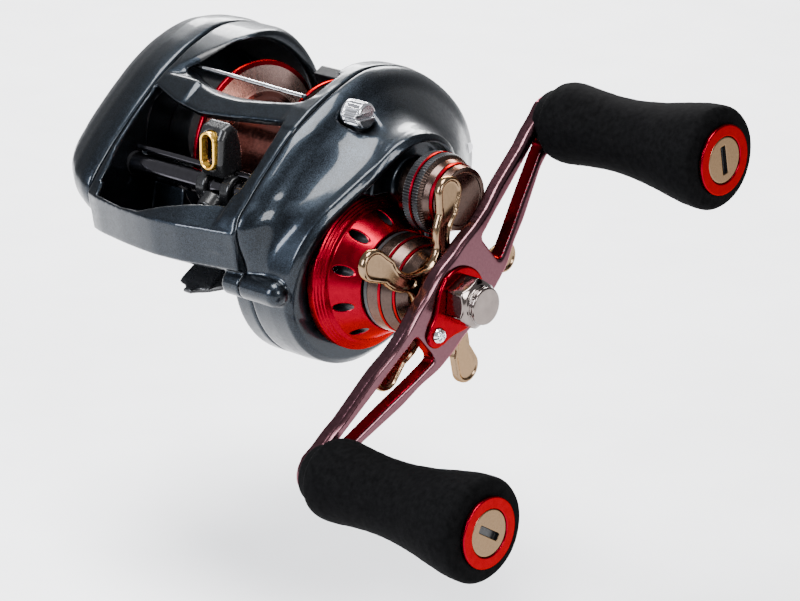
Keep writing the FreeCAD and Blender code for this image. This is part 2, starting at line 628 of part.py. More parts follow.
def make_drive():
    turned("drive_shaft", "gear", [
        ("0", "14.1"), ("journal_radius", "14.1"), ("journal_radius", "17.9"), ("4.6", "17.9"),
        ("4.6", "19.1"), ("drive_radius", "19.1"), ("drive_radius", "56.5"), ("2.9", "56.5"),
        ("2.9", "63.4"), ("0", "63.4")])
    turned("drag_washers", "gear", ring("3.6", "12.8", "25.25", "25.9"),
           ring("3.6", "12.8", "26.75", "27.4"))
    turned("drag_plates", "gear", ring("3.6", "12.8", "25.95", "26.7"),
           ring("3.6", "12.8", "27.45", "28.5"))
    turned("anti_reverse_sleeve", "gear", ring("drive_radius + running", "4.5", "28.7", "42.6"))
    catch = new_body("ratchet_body", "gear")
    pad_y(catch, "21.4", "22.7", lambda s: circle(s, "0", "0", "9.6"))
    for turn in range(0, 360, 36):
        cut_y(catch, "21", "23", lambda s: outline(s, [
            ("%s * cos(%d)" % (r, turn + a), "%s * sin(%d)" % (r, turn + a))
            for r, a in ((8.2, 0), (10.5, 0.5), (10.5, 22), (9.55, 18))]))
    cut_y(catch, "20", "24", lambda s: circle(s, "0", "0", "drive_radius"))
    node("ratchet", catch)


def make_handle():
    arm = new_body("handle_body", "gear", turn="handle_angle")
    half = [("39", "4.1"), ("31", "5.1"), ("26", "5.9"), ("18", "7.0"), ("11", "8.3")]
    edge = [("-" + u, v) for u, v in half] + [("11", "8.3")]
    edge += half[-2::-1] + [("crank", "boss_radius")]
    edge += [("crank", "-boss_radius", "crank + boss_radius", "0")]
    edge += [(u, "-" + v) for u, v in half] + [("-11", "-8.3")]
    edge += [("-" + u, "-" + v) for u, v in half[-2::-1]] + [("-crank", "-boss_radius")]
    edge += [("-crank", "boss_radius", "-crank - boss_radius", "0")]
    pad_y(arm, "50.5", "handle_face + 0.5", lambda s: outline(s, edge))
    low_face = "handle_face - handle_drop"
    front = [("-60", "62"), ("-60", low_face), ("-40", low_face), ("-14", "handle_face"),
             ("14", "handle_face"), ("40", low_face), ("60", low_face), ("60", "62")]
    cut_z(arm, "-12", "12", lambda s: outline(s, front))
    back = [("-60", "49"), ("-60", low_face + " - handle_thick"), ("-40.6", low_face + " - handle_thick"),
            ("-14.6", "handle_face - handle_thick"), ("14.6", "handle_face - handle_thick"),
            ("40.6", low_face + " - handle_thick"), ("60", low_face + " - handle_thick"), ("60", "49")]
    cut_z(arm, "-12", "12", lambda s: outline(s, back))
    for sign in ("", "-"):
        window = [(sign + "13.6", "4.3", sign + "12", "0"), (sign + "21", "3.8"), (sign + "28", "2.8"),
                  (sign + "38", "1.9"), (sign + "41.6", "1.2"), (sign + "41.6", "-1.2", sign + "42.8", "0"),
                  (sign + "38", "-1.9"), (sign + "28", "-2.8"), (sign + "21", "-3.8"),
                  (sign + "13.6", "-4.3")]
        cut_y(arm, "49", "62", lambda s: outline(s, window))
    cut_y(arm, "49", "62", lambda s: circle(s, "0", "0", "2.95"))
    cut_y(arm, "49", "62", lambda s: circle(s, "9.6", "0", "0.85"))
    for side in ("crank", "-crank"):
        cut_y(arm, "49", "62", lambda s: circle(s, side, "0", "post_radius + 0.1"))
    node("handle_arm", arm)

    posts = new_body("knob_posts_body", "gear", turn="handle_angle")
    for side in ("crank", "-crank"):
        pad_y(posts, "50.4", "51.5", lambda s: circle(s, side, "0", "2.9"))
        pad_y(posts, "51.5", "98.6", lambda s: circle(s, side, "0", "post_radius"))
        pad_y(posts, "55", "55.9", lambda s: circle(s, side, "0", "3.2"))
    node("knob_posts", posts)

    plate = new_body("nut_retainer_body", "gear", turn="handle_angle")
    pad_y(plate, "handle_face", "handle_face + 0.8", lambda s: circle(s, "0", "0", "7.2"))
    pad_y(plate, "handle_face", "handle_face + 0.8", lambda s: outline(s, [
        ("0", "-7.1"), ("9.6", "-3.0"), ("9.6", "3.0", "12.6", "0"), ("0", "7.1")]))
    cut_y(plate, "59", "62", lambda s: circle(s, "0", "0", "2.95"))
    cut_y(plate, "59", "62", lambda s: circle(s, "9.6", "0", "0.85"))
    node("nut_retainer", plate)

    screw = new_body("retainer_screw_body", "gear", turn="handle_angle")
    pad_y(screw, "57", "61", lambda s: circle(s, "9.6", "0", "0.8"))
    pad_y(screw, "60.8", "62.3", lambda s: circle(s, "9.6", "0", "1.75"))
    for wide, high in ((1.2, 0.25), (0.25, 1.2)):
        cut_y(screw, "61.5", "63", lambda s: outline(s, [
            ("9.6 - %s" % wide, "-%s" % high), ("9.6 + %s" % wide, "-%s" % high),
            ("9.6 + %s" % wide, "%s" % high), ("9.6 - %s" % wide, "%s" % high)]))
    node("retainer_screw", screw)

    nut = new_body("handle_nut_body", "gear", turn="handle_angle")
    pad_y(nut, "60.8", "66", lambda s: outline(s, [
        ("5.75 * cos(%d)" % turn, "5.75 * sin(%d)" % turn) for turn in range(15, 375, 60)]))
    pad_y(nut, "66", "67.95", lambda s: circle(s, "0", "0", "4.1"))
    cut_y(nut, "60", "64", lambda s: circle(s, "0", "0", "2.95"))
    node("handle_nut", nut)


def make_star():
    turned("star_hub", "gear", [
        ("3.6", "43.2"), ("10.9", "43.2"), ("10.75", "46.2"), ("10.1", "46.2"), ("10.1", "46.95"),
        ("10.6", "46.95"), ("9.6", "49.4"), ("9.0", "49.4"), ("9.0", "50.1"), ("9.2", "50.1"),
        ("7.6", "52.4"), ("3.6", "52.4")])
    turned("star_bands", "gear", ring("10.15", "10.78", "46.25", "46.9"),
           ring("9.05", "9.5", "49.45", "50.05"))
    turned("hub_seal", "gear", ring("4.5", "10.8", "42.2", "43.1"))
    star = new_body("star_body", "gear", turn="-star_turn")
    pad_y(star, "52.5", "55.4", lambda s: circle(s, "0", "0", "7.4"))
    stem = [("5.5", "-2.1"), ("16", "-2.0"), ("16", "2.0"), ("5.5", "2.1")]
    paddle = [("13.5", "-2.0"), ("19", "-3.5"), ("21.5", "-3.7"), ("21.5", "3.7", "star_radius", "0"),
              ("19", "3.5"), ("13.5", "2.0")]
    made = [pad_y(star, "52.5", "54.1", lambda s: outline(s, stem)),
            pad_y(star, "star_back", "star_back + 2.2", lambda s: outline(s, paddle))]
    fan = star.newObject("PartDesign::PolarPattern", "star_fan")
    fan.Originals = made
    fan.Axis = (made[0].Profile[0], ["N_Axis"])
    fan.Angle = 360
    fan.Occurrences = 5
    star.Tip = fan
    doc.recompute()
    cut_y(star, "50", "57", lambda s: circle(s, "0", "0", "3.6"))
    node("star_wheel", star)


def make_knob(name):
    """One foam knob on its sleeve, bearings and end cap."""
    foam = [("7.4", "56.5"), ("8.5", "57.4"), ("8.8", "60.5"), ("8.3", "66"), ("waist_radius", "73"),
            ("8.3", "79.5"), ("9.2", "85.5"), ("10.6", "91"), ("grip_radius", "94.8"), ("10.7", "98"),
            ("9.5", "100"), ("7.6", "knob_end - 1")]
    bore = "core_radius + running"
    turned(name + "_grip", name, [(bore, "knob_end - 1"), (bore, "56.5")] + foam)
    turned(name + "_core", name, ring("3.6", "core_radius", "knob_in", "99.0"))
    turned(name + "_bearings", name, ring("post_radius + running", "3.55", "56.6", "59.2"),
           ring("post_radius + running", "3.55", "95", "97.6"))
    turned(name + "_ring", name, ring("5.1", "7.54", "knob_end - 1", "knob_end"))
    cap = turned(name + "_cap", name, ring("0", "5.05", "99.0", "knob_end - 0.1"))
    slot = [("-3.6", "-0.7"), ("3.6", "-0.7"), ("3.6", "0.7"), ("-3.6", "0.7")]
    cut_y(cap, "knob_end - 1.2", "knob_end", lambda s: outline(s, slot))


def make_controls():
    turned("tension_knob", "spool", [
        ("6.06", "38.7"), ("7.2", "38.7"), ("7.2", "41.9"), ("tension_radius", "41.9"),
        ("tension_radius", "43.8"), ("8.6", "43.8"), ("8.6", "44.4"), ("tension_radius", "44.4"),
        ("tension_radius", "46.0"), ("7.9", "46.9"), ("7.5", "48.4"), ("6.8", "48.4"), ("6.8", "49.3"),
        ("7.2", "49.3"), ("6.8", "tension_face"), ("0", "tension_face"), ("0", "48.2"), ("6.06", "48.2")])
    turned("tension_bands", "spool", ring("8.65", "9.02", "43.85", "44.35"),
           ring("6.85", "7.45", "48.45", "49.25"))
    turned("thumbscrew", "thumbscrew", ring("0", "3.0", "23.6", "29.2"))
    screw = NODES["thumbscrew"]
    slot = [("-4", "-0.55"), ("4", "-0.55"), ("4", "0.55"), ("-4", "0.55")]
    cut_y(screw, "28.2", "30", lambda s: outline(s, slot))
    pad_y(screw, "15.6", "23.6", lambda s: circle(s, "0", "0", "screw_radius"))

    bar = new_body("thumb_bar_body")
    low = [("-28", "28.5"), ("-23", "28.5"), ("-21.4", "32.5"), ("-22.5", "35"), ("-26.5", "35")]
    wing = [("-28", "28.5"), ("-23", "28.5"), ("-20.6", "34"), ("-19", "37.5"), ("-22", "39"),
            ("-26.5", "36.5")]
    pad_y(bar, "0.3 - palm_in", "plate_in - 0.3", lambda s: outline(s, low))
    pad_y(bar, "0.3 - palm_in", "-3", lambda s: outline(s, wing))
    tab = [("-27", "29.5"), ("-24", "29.5"), ("-24", "33"), ("-27", "33")]
    pad_y(bar, "plate_in - 0.5", "16.8", lambda s: outline(s, tab))
    node("thumb_bar", bar)


def write_parts():
    """Checks every object and writes each sub-part to its own file."""
    doc.recompute()
    for thing in doc.Objects:
        if "Invalid" in thing.State or "Error" in thing.State:
            raise RuntimeError("%s is %s" % (thing.Name, thing.State))
    for label, thing in NODES.items():
        if thing.Shape.isNull() or not thing.Shape.isValid() or not thing.Shape.Solids:
            raise RuntimeError("%s has no valid shape" % label)
    os.makedirs("parts", exist_ok=True)
    for label, thing in NODES.items():
        thing.Shape.exportStep("parts/%s.step" % label)


make_frame()
make_foot()
make_palm_cover()
make_handle_cover()
make_gear_cover()
make_bearings()
make_level_wind()
make_spool()
make_gear_train()
make_clutch()
make_drive()
make_handle()
make_star()
for knob in ("upper", "lower"):
    make_knob(knob)
make_controls()
write_parts()
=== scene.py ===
import json
import math
import bpy
import numpy as np
import openvdb as vdb
from mathutils import Matrix, Vector


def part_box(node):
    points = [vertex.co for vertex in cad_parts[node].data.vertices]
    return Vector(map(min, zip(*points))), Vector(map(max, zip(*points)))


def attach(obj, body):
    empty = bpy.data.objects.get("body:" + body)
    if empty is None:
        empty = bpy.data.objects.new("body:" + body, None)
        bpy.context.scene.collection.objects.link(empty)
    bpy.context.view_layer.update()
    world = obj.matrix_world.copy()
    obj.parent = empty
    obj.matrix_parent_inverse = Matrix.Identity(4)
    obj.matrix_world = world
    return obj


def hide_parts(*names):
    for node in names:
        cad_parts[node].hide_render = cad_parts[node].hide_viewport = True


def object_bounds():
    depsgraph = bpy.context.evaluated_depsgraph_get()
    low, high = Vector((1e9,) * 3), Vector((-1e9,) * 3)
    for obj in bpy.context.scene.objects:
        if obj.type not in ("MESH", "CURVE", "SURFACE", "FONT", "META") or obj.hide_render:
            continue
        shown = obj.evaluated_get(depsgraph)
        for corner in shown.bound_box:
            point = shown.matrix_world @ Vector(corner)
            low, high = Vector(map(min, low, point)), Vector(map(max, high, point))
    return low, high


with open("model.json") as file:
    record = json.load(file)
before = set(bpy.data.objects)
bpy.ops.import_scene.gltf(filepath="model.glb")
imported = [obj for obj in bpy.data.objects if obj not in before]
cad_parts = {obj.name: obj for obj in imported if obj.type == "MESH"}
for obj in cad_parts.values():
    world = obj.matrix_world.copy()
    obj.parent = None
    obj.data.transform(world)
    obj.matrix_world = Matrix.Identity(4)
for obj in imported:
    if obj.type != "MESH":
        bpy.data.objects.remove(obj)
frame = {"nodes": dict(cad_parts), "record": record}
cad_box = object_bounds()
joints = {joint["name"]: joint for joint in frame["record"]["behaviour"]["joints"]}

MM = 0.001
FINE = 1.0


# ---------------------------------------------------------------- places, in millimetres
def axis_of(joint):
    """X and Z of a joint's axis."""
    x, _, z = joints[joint]["pos_m"]
    return x / MM, z / MM


def span(node, side):
    """Where a CAD node begins and ends along one side."""
    low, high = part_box(node)
    return low[side] / MM, high[side] / MM


SPOOL_X, SPOOL_Z = axis_of("spool_spin")
GEAR_X, GEAR_Z = axis_of("handle_spin")
WORM_X, WORM_Z = axis_of("worm_spin")
SCREW_X, SCREW_Z = axis_of("thumbscrew_turn")
LOWER = axis_of("lower_knob_spin")
UPPER = axis_of("upper_knob_spin")
CRANK_TURN = math.atan2(GEAR_Z - LOWER[1], LOWER[0] - GEAR_X)
PARTING = span("handle_side_cover", 1)[0]
PLATE_IN = 13.4
PALM_OUT = span("frame", 1)[0]
PALM_IN = -14.0
BORE = 20.8
LUG_X, LUG_Z, LUG_RADIUS, LUG_END = 32.6, 5.8, 2.9, 27.2
SEAM = 0.06
HOUSING_RADIUS = 21.8
RECESS_RADIUS, RECESS_FLOOR = 17.75, 31.7
KNOB_REACH = 47.5
RETAINER_SCREW = 9.6
NUT_BORE = 2.95
VENTS, VENT_RADIUS = 10, 13.15
STAR_ARMS = 5
GUIDE_Y = 2.5
FOAM_START, FOAM_END, FOAM_BORE = 56.6, 100.75, 5.3


# ---------------------------------------------------------------- shapes as signed distances
class Field:
    """A box of sample points. Shapes are arrays of signed distances, negative inside."""

    def __init__(self, low, high, step):
        self.step = step / FINE
        pad = 3 * self.step
        self.low = [a - pad for a in low]
        axes = [np.arange(a, b + pad, self.step, dtype=np.float32) for a, b in zip(self.low, high)]
        self.x, self.y, self.z = np.ix_(*axes)
        self.shape = [len(each) for each in axes]

    def mesh(self, name, distance, turn=0.0, centre=(0.0, 0.0)):
        """The zero surface as a smooth mesh, turned about Y and moved to an axis."""
        band = 3 * self.step
        filled = np.broadcast_to(distance, self.shape).astype(np.float32)
        grid = vdb.FloatGrid(background=band)
        grid.copyFromArray(np.clip(filled, -band, band))
        points, quads = grid.convertToQuads(0.0)
        points = points * self.step + np.array(self.low)
        if turn:
            c, s = math.cos(turn), math.sin(turn)
            points = np.stack([points[:, 0] * c + points[:, 2] * s, points[:, 1],
                               points[:, 2] * c - points[:, 0] * s], axis=1)
        points += np.array([centre[0], 0.0, centre[1]])
        return make_mesh(name, points, quads)


def make_mesh(name, points, faces, sharp=None):
    """A smooth mesh object from points in millimetres, with its faces looking outwards."""
    points, faces = np.asarray(points, float), np.asarray(faces)
    corners = points[faces[:, :3]]
    volume = np.einsum("ij,ij->i", corners[:, 0], np.cross(corners[:, 1], corners[:, 2])).sum()
    if volume < 0:
        faces = faces[:, ::-1]
    mesh = bpy.data.meshes.new(name)
    mesh.from_pydata((points * MM).tolist(), [], faces.tolist())
    mesh.shade_smooth()
    thing = bpy.data.objects.new(name, mesh)
    bpy.context.collection.objects.link(thing)
    if sharp:
        mesh.set_sharp_from_angle(angle=math.radians(sharp))
    return thing


def polygon(points, u, v):
    """Signed distance to a closed outline."""
    nearest, sign = None, np.float32(1.0)
    for (au, av), (bu, bv) in zip([points[-1]] + list(points[:-1]), points):
        eu, ev, pu, pv = bu - au, bv - av, u - au, v - av
        t = np.clip((pu * eu + pv * ev) / max(eu * eu + ev * ev, 1e-9), 0, 1)
        apart = (pu - eu * t) ** 2 + (pv - ev * t) ** 2
        nearest = apart if nearest is None else np.minimum(nearest, apart)
        above, below, left = v >= av, v < bv, eu * pv > ev * pu
        sign = np.where((above & below & left) | (~above & ~below & ~left), -sign, sign)
    return sign * np.sqrt(nearest)


def rounded(points, per_side=8):
    """A smooth closed curve through the points."""
    places, made = np.array(points, float), []
    for i in range(len(places)):
        a, b, c, d = places[i - 2], places[i - 1], places[i], places[(i + 1) % len(places)]
        for t in np.arange(per_side) / per_side:
            made.append(0.5 * (2 * b + (c - a) * t + (2 * a - 5 * b + 4 * c - d) * t ** 2
                               + (3 * b - a - 3 * c + d) * t ** 3))
    return [tuple(each) for each in made]


def gauge(points, centre, x, z):
    """How far out a point is, as a share of the outline's reach in that direction, and that reach."""
    curve = np.array(rounded(points, 16)) - centre
    angle = np.arctan2(curve[:, 1], curve[:, 0])
    order = np.argsort(angle)
    u, v = x - centre[0], z - centre[1]
    reach = np.interp(np.arctan2(v, u), angle[order], np.hypot(curve[:, 0], curve[:, 1])[order],
                      period=2 * math.pi)
    return (np.hypot(u, v) / reach).astype(np.float32), reach.astype(np.float32)


def both(a, b, k=0.6):
    """Intersection with a rounded edge."""
    h = np.clip(k - np.abs(a - b), 0, None) / k
    return np.maximum(a, b) + h * h * k / 4


def either(a, b, k=0.6):
    """Union with a filled corner."""
    return -both(-a, -b, k)


def without(a, b, k=0.6):
    """The first shape with the second cut out, its edges rounded."""
    return both(a, -b, k)


def chamfered(a, b, size):
    """Intersection with a flat bevel."""
    return both(np.maximum(a, b), (a + b) * 0.7071 + size * 0.7071, 0.15)


def between(v, low, high):
    """The slab between two places."""
    return np.maximum(low - v, v - high)


def bend(v, points, soft=1.2):
    """A softened bent line through points, read at v."""
    xs, ys = zip(*points)
    fine = np.linspace(min(xs) - 6, max(xs) + 6, 2000)
    line = np.interp(fine, xs, ys)
    width = max(1, int(soft / (fine[1] - fine[0])))
    kernel = np.hanning(2 * width + 1)
    padded = np.pad(line, width, mode="edge")
    line = np.convolve(padded, kernel / kernel.sum(), mode="valid")
    return np.interp(v, fine, line).astype(np.float32)


def round_bar(f, x, z, radius, low, high, k=0.4):
    """A cylinder along Y with rounded rims."""
    return both(np.hypot(f.x - x, f.z - z) - radius, between(f.y, low, high), k)


def from_spool(x, z):
    """How far a place is from the spool's axis."""
    return np.hypot(x - SPOOL_X, z - SPOOL_Z)


def teardrop(along, across, reach, near, far):
    """A circle and another one a reach further along, joined by their tangents."""
    lean = (near - far) / reach
    rise = math.sqrt(1 - lean * lean)
    progress = along * rise - across * lean
    start = np.hypot(along, across) - near
    end = np.hypot(along - reach, across) - far
    side = across * rise + along * lean - near
    return np.where(progress < 0, start, np.where(progress > rise * reach, end, side))


# ---------------------------------------------------------------- outlines
SIDE_FRONT = [(36.2, 19.0), (31.5, 25.5), (25.5, 31.4), (19.4, 36.7), (13.3, 40.4)]
HANDLE_SIDE = SIDE_FRONT + [(5.5, 44.3), (-5.0, 47.2), (-17.0, 45.0), (-27.5, 38.6), (-34.8, 30.0),
                            (-37.0, 20.0), (-33.5, 10.0), (-23.0, 1.5), (-8.0, -6.0), (10.0, -9.5),
                            (25.0, -4.5), (33.0, 9.0)]
PALM_SIDE = SIDE_FRONT[:4] + [(12.5, 42.0), (4.0, 46.6), (-6.0, 49.2), (-17.5, 46.8), (-27.5, 39.6),
                              (-34.3, 30.0), (-36.3, 20.0), (-33.0, 9.5), (-22.0, 3.2), (-6.0, 2.6),
                              (12.0, 5.4), (26.0, 9.0), (34.0, 12.4)]
SIDE_CENTRE = (-1.0, 24.0)


def pod(f, at_gear, at_spool):
    """The outline that takes in a circle round the crank and one round the spool's axis."""
    reach = math.hypot(SPOOL_X - GEAR_X, SPOOL_Z - GEAR_Z)
    ux, uz = (SPOOL_X - GEAR_X) / reach, (SPOOL_Z - GEAR_Z) / reach
    along = (f.x - GEAR_X) * ux + (f.z - GEAR_Z) * uz
    across = np.abs((f.x - GEAR_X) * uz - (f.z - GEAR_Z) * ux)
    return teardrop(along, across, reach, at_gear, at_spool), along


def side_plate(f, points, low, high, k):
    """A plate across Y with one of the reel's side outlines."""
    share, reach = gauge(points, SIDE_CENTRE, f.x, f.z)
    return both((share - 1) * reach, between(f.y, low, high), k)


def dome(f, points, stations, soft=1.6, climb=0.0):
    """A bulging cover: the outline's share is given by Y, and it may climb on its way out."""
    share, reach = gauge(points, SIDE_CENTRE, f.x, f.z + climb * np.clip(f.y - PALM_OUT, None, 0))
    size = bend(f.y, stations, soft)
    slope = np.gradient(size[0, :, 0], f.step)[None, :, None] * 28
    return (share - size) * reach / np.sqrt(1 + slope * slope)


def make_handle_cover():
    """The crank-side cover: a dome, the pod with its recess, the collar and the lug."""
    f = Field((-38, PARTING, -15.2), (38, 47, 48), 0.34)
    shell = dome(f, HANDLE_SIDE, [(18.0, 1.0), (20.2, 0.985), (22.4, 0.925), (24.0, 0.845), (27.0, 0.745),
                                  (31.0, 0.61), (34.5, 0.47), (37.0, 0.34), (38.2, 0.10)])
    outer, along = pod(f, HOUSING_RADIUS, 13.0)
    rim = 33.2 + 0.225 * np.clip(along, -15, None)
    wall = chamfered(outer + np.clip(f.y - 24, 0, None) * 0.06, f.y - rim, 1.3)
    body = either(shell, wall, 3.0)
    body = both(body, PARTING + SEAM - f.y, 0.7)
    inner, _ = pod(f, RECESS_RADIUS, 10.2)
    recess_floor = RECESS_FLOOR + 0.14 * np.clip(along, 0, None)
    body = without(body, both(inner, recess_floor - f.y, 0.4), 0.7)
    body = either(body, round_bar(f, SPOOL_X, SPOOL_Z, 12.2, PARTING, 36.0, 0.6), 0.8)
    body = without(body, round_bar(f, GEAR_X, GEAR_Z, RECESS_RADIUS, RECESS_FLOOR, 60), 0.5)
    collar = round_bar(f, SPOOL_X, SPOOL_Z, 6.0, PARTING, 46.5)
    body = either(body, collar, 1.0)
    lug = np.hypot(f.x - LUG_X, f.z - LUG_Z)
    lug = np.sqrt(lug ** 2 + np.clip(f.y - LUG_END, 0, None) ** 2) - LUG_RADIUS
    body = either(body, both(lug, PARTING + SEAM - f.y, 0.4), 0.8)
    body = without(body, round_bar(f, SCREW_X, SCREW_Z, 3.5, 23.3, 60), 0.8)
    hollow = both(round_bar(f, GEAR_X, GEAR_Z, 19.3, 10, 29.6), f.y - (rim - 2.0), 0.3)
    hollow = either(hollow, round_bar(f, SPOOL_X, SPOOL_Z, 10.6, 10, 34.5), 0.5)
    hollow = either(hollow, round_bar(f, SPOOL_X, SPOOL_Z, 4.0, 10, 60), 0.5)
    hollow = either(hollow, round_bar(f, GEAR_X, GEAR_Z, 14.0, 10, 60), 0.5)
    hollow = either(hollow, round_bar(f, WORM_X, WORM_Z, 5.0, 10, 22), 0.5)
    body = without(body, hollow, 0.4)
    return finish_piece(f.mesh("cover_crank_side", body), "housing", "body_paint", "handle_side_cover")


def make_palm_cover():
    """The palm-side cover."""
    f = Field((-38, span("palm_side_cover", 1)[0], -4), (38, PALM_OUT, 52), 0.42)
    body = dome(f, PALM_SIDE, [(-47.0, 0.20), (-46.2, 0.42), (-44.5, 0.66), (-42.0, 0.79), (-39.0, 0.88),
                               (-35.0, 0.955), (-31.0, 0.993), (-27.0, 1.0)], 1.6, 0.21)
    body = both(body, f.y - (PALM_OUT - SEAM), 0.9)
    body = both(body, -46.4 - f.y, 2.0)
    hollow = round_bar(f, SPOOL_X, SPOOL_Z, 19.4, -31, 0)
    body = without(body, hollow, 0.4)
    body = either(body, round_bar(f, SPOOL_X, SPOOL_Z, 6.0, -36, PALM_OUT - 0.1), 0.6)
    return finish_piece(f.mesh("cover_palm_side", body), "housing", "body_paint", "palm_side_cover")


def bow(y):
    """How far back the nose's crease lies from its foremost point."""
    return bend(y, [(-38, 9.0), (-34, 6.6), (-28, 4.2), (-24, 2.8), (-14, 1.0), (-8, 0.3), (-3, 0.0),
                    (4.5, 0.8), (10.5, 2.5), (18.6, 4.3)], 3.0)


def from_bar(x, y, z):
    """How far a place is from the thin bar behind the hood."""
    return np.hypot(x - 9.0 - 0.06 * y, z - 42.3)


def make_frame():
    """The two side plates, the hood, the nose, the floor and the rear post in one piece."""
    f = Field((-38, PALM_OUT, -15.2), (41.2, PARTING, 50), 0.36)
    low, high = PALM_OUT + SEAM, PARTING - SEAM
    plate = side_plate(f, HANDLE_SIDE, PLATE_IN, high, 1.0)
    plate = either(plate, round_bar(f, GEAR_X, GEAR_Z, HOUSING_RADIUS, PLATE_IN, high, 0.8), 1.0)
    ring = from_spool(f.x, f.z)
    palm = side_plate(f, PALM_SIDE, low, PALM_IN - 1.8, 1.4)
    lower = np.clip((35 - f.z) / 8, 0, 1) + np.clip((f.x + 2) / 12, 0, 1)
    arch = ring - (26.3 + 0.45 * np.clip(PALM_IN - 2 - f.y, 0, None) + 12 * lower)
    palm = both(palm, arch, 1.6)
    flare = np.clip((f.y + 26) / 10, 0, 1) * np.clip((8.5 - f.x) / 8, 0, 1)
    palm = without(palm, ring - (20.0 + 3.2 * flare), 0.8)
    corner = (f.y + 25.8) * 0.79 + (f.x - 8.4) * 0.62 - 0.7 * np.clip(25.5 - ring, 0, 6)
    corner = both(both(-corner, f.x - 13, 0.5), 38 - f.z, 0.5)
    palm = without(palm, corner, 1.2)
    plate = without(plate, round_bar(f, SPOOL_X, SPOOL_Z, BORE, 0, PLATE_IN + 1.6), 0.8)

    front = [(-30, 30), (-16, 45.0), (-4, 47.0), (7.2, 43.7), (13.3, 40.9), (19.4, 36.6), (25.5, 31.2),
             (31.5, 25.5), (36.2, 19.0), (36, 0), (-30, 0)]
    skin = polygon(front, f.x, f.z)
    hood = np.maximum(np.maximum(skin, -(skin + 2.6)), 4 - f.x)
    leading = bend(f.y, [(-30, 16.4), (-27.7, 16.8), (-19.2, 19.0), (-10, 20.2), (-0.7, 19.4), (12.1, 17.8),
                         (18.6, 17.4)], 2.0)
    thumb_window = rounded([(-45, -25.8), (2, -26.2), (7.0, -25.6), (8.4, -22), (10.2, -16.9), (11.6, -10.7),
                            (11.9, -3.9), (11.3, 1.8), (10.2, 8.4), (8.8, 12.4), (6.0, 14.6), (2.0, 15.2),
                            (-45, 16.0)], 4)
    tilt = (f.x - leading) * 0.8 - (f.z - 36.5) * 0.25
    hood = both(hood, tilt, 0.5)
    edge = polygon(thumb_window, f.x, f.y)
    hood = both(hood, 0.85 * (skin + 0.62 * (3.2 - edge)), 0.25)
    hood = both(hood, -edge, 0.6)
    hood = both(hood, between(f.y, low, high), 0.5)

    nose_outline = [(31.0, 7.2), (34.2, 7.5), (39.4, 9.8), (40.8, 18.0), (35.9, 22.2), (34.8, 20.8),
                    (37.0, 17.2), (35.4, 13.6), (31.0, 12.0)]
    step = f.step
    strip = np.arange(20.0, 56.0, step, dtype=np.float32)
    table = polygon(nose_outline, strip[:, None], f.z[0, 0][None, :])
    place = (f.x + bow(f.y) - strip[0]) / step
    index = np.clip(place.astype(int), 0, len(strip) - 2)[:, :, 0]
    part = (np.clip(place, 0, len(strip) - 2)[:, :, 0] - index)[:, :, None]
    nose = table[index] * (1 - part) + table[index + 1] * part - 0.25
    nose = both(nose, between(f.y, low, high), 0.5)

    floor = [(-26, 2.45), (12, 2.45), (22, 6.2), (33.5, 10.0), (33, 12.0), (20, 8.0), (12, 4.4), (-26, 4.4)]
    apron = [(37, 13.4), (36.4, 15.2), (20, 16.2), (19.6, 14.6), (34, 12.4)]
    rear = [(-33, 7), (-27.5, 2.45), (-21, 2.45), (-22.6, 9), (-24.6, 20), (-33.5, 20)]
    inside = between(f.y, PALM_IN - 1, PLATE_IN + 1)
    bars = polygon(floor, f.x, f.z)
    bars = np.minimum(bars, polygon(rear, f.x, f.z) - 0.2)
    bars = both(np.minimum(bars, polygon(apron, f.x, f.z)), inside, 0.3)

    body = either(plate, palm, 0.3)
    body = either(body, hood, 0.8)
    body = either(body, nose, 1.2)
    body = either(body, bars, 0.8)

    slope = 0.68 * f.x - 0.73 * f.z
    window = [(-27.0, -17.2), (-19.2, -14.6), (-10, -13.2), (-0.7, -14.2), (12.1, -16.0), (14.1, -16.2),
              (14.9, -11), (15.2, -4.2), (14.6, 2.2), (12.8, 4.4), (9.1, 6.6), (3.8, 8.5), (-1.4, 10.5),
              (-8, 13.4), (-14, 13.6), (-24, 12.0), (-26.3, -0.3), (-26.6, -7.1)]
    opening = polygon(window, f.y, slope)
    depth = 0.73 * f.x + 0.68 * f.z
    opening = np.maximum(opening, 32.5 - depth)
    body = without(body, opening, 0.7)
    body = np.minimum(body, np.maximum(from_bar(f.x, f.y, f.z) - 0.55, between(f.y, -25, 14)))
    body = either(body, round_bar(f, LUG_X, LUG_Z, LUG_RADIUS, PLATE_IN, high, 0.3), 0.8)
    body = without(body, round_bar(f, WORM_X, WORM_Z, 3.0, PALM_OUT + 2.2, 30), 0.2)
    body = without(body, round_bar(f, SPOOL_X, SPOOL_Z, 4.4, 0, 30), 0.3)
    body = without(body, round_bar(f, GEAR_X, GEAR_Z, 5.0, PLATE_IN + 0.6, 30), 0.3)
    thumb_slot = np.maximum(between(f.x, -27.3, -23.7), between(f.z, 24.9, 33.4))
    body = without(body, np.maximum(thumb_slot, between(f.y, 10, 17.2)), 0.2)
    mouth = [(18.6, 34.2), (20.2, 36.2), (27, 38), (38, 24), (36.4, 21.6), (34.4, 20.4), (36.0, 17.4),
             (34.6, 14.2), (30, 12.8), (20, 10.4), (18.5, 20)]
    body = without(body, np.maximum(polygon(mouth, f.x, f.z), between(f.y, PALM_OUT + 2.6, 0)), 0.5)
    thing = f.mesh("main_frame", body)
    finish_piece(thing, "housing", "body_paint", "frame")
    # Painted shade: the palm plate's bore behind the spool rim gets the black plastic colour, standing for
    # the shade in the gap between the frame and the spool.
    second_material(thing, "black_plastic", lambda x, y, z: (
        (from_spool(x, z) < 20.4 + np.clip((y + 26) * 0.3, 0, 2.6)) & (y < PALM_IN)
        & (y > PALM_OUT + 1) & (from_spool(x, z) > 18) & (x < 8)))
    second_material(thing, "steel", lambda x, y, z: (
        (from_bar(x, y, z) < 0.72) & (y > -24.6) & (y < 13)))


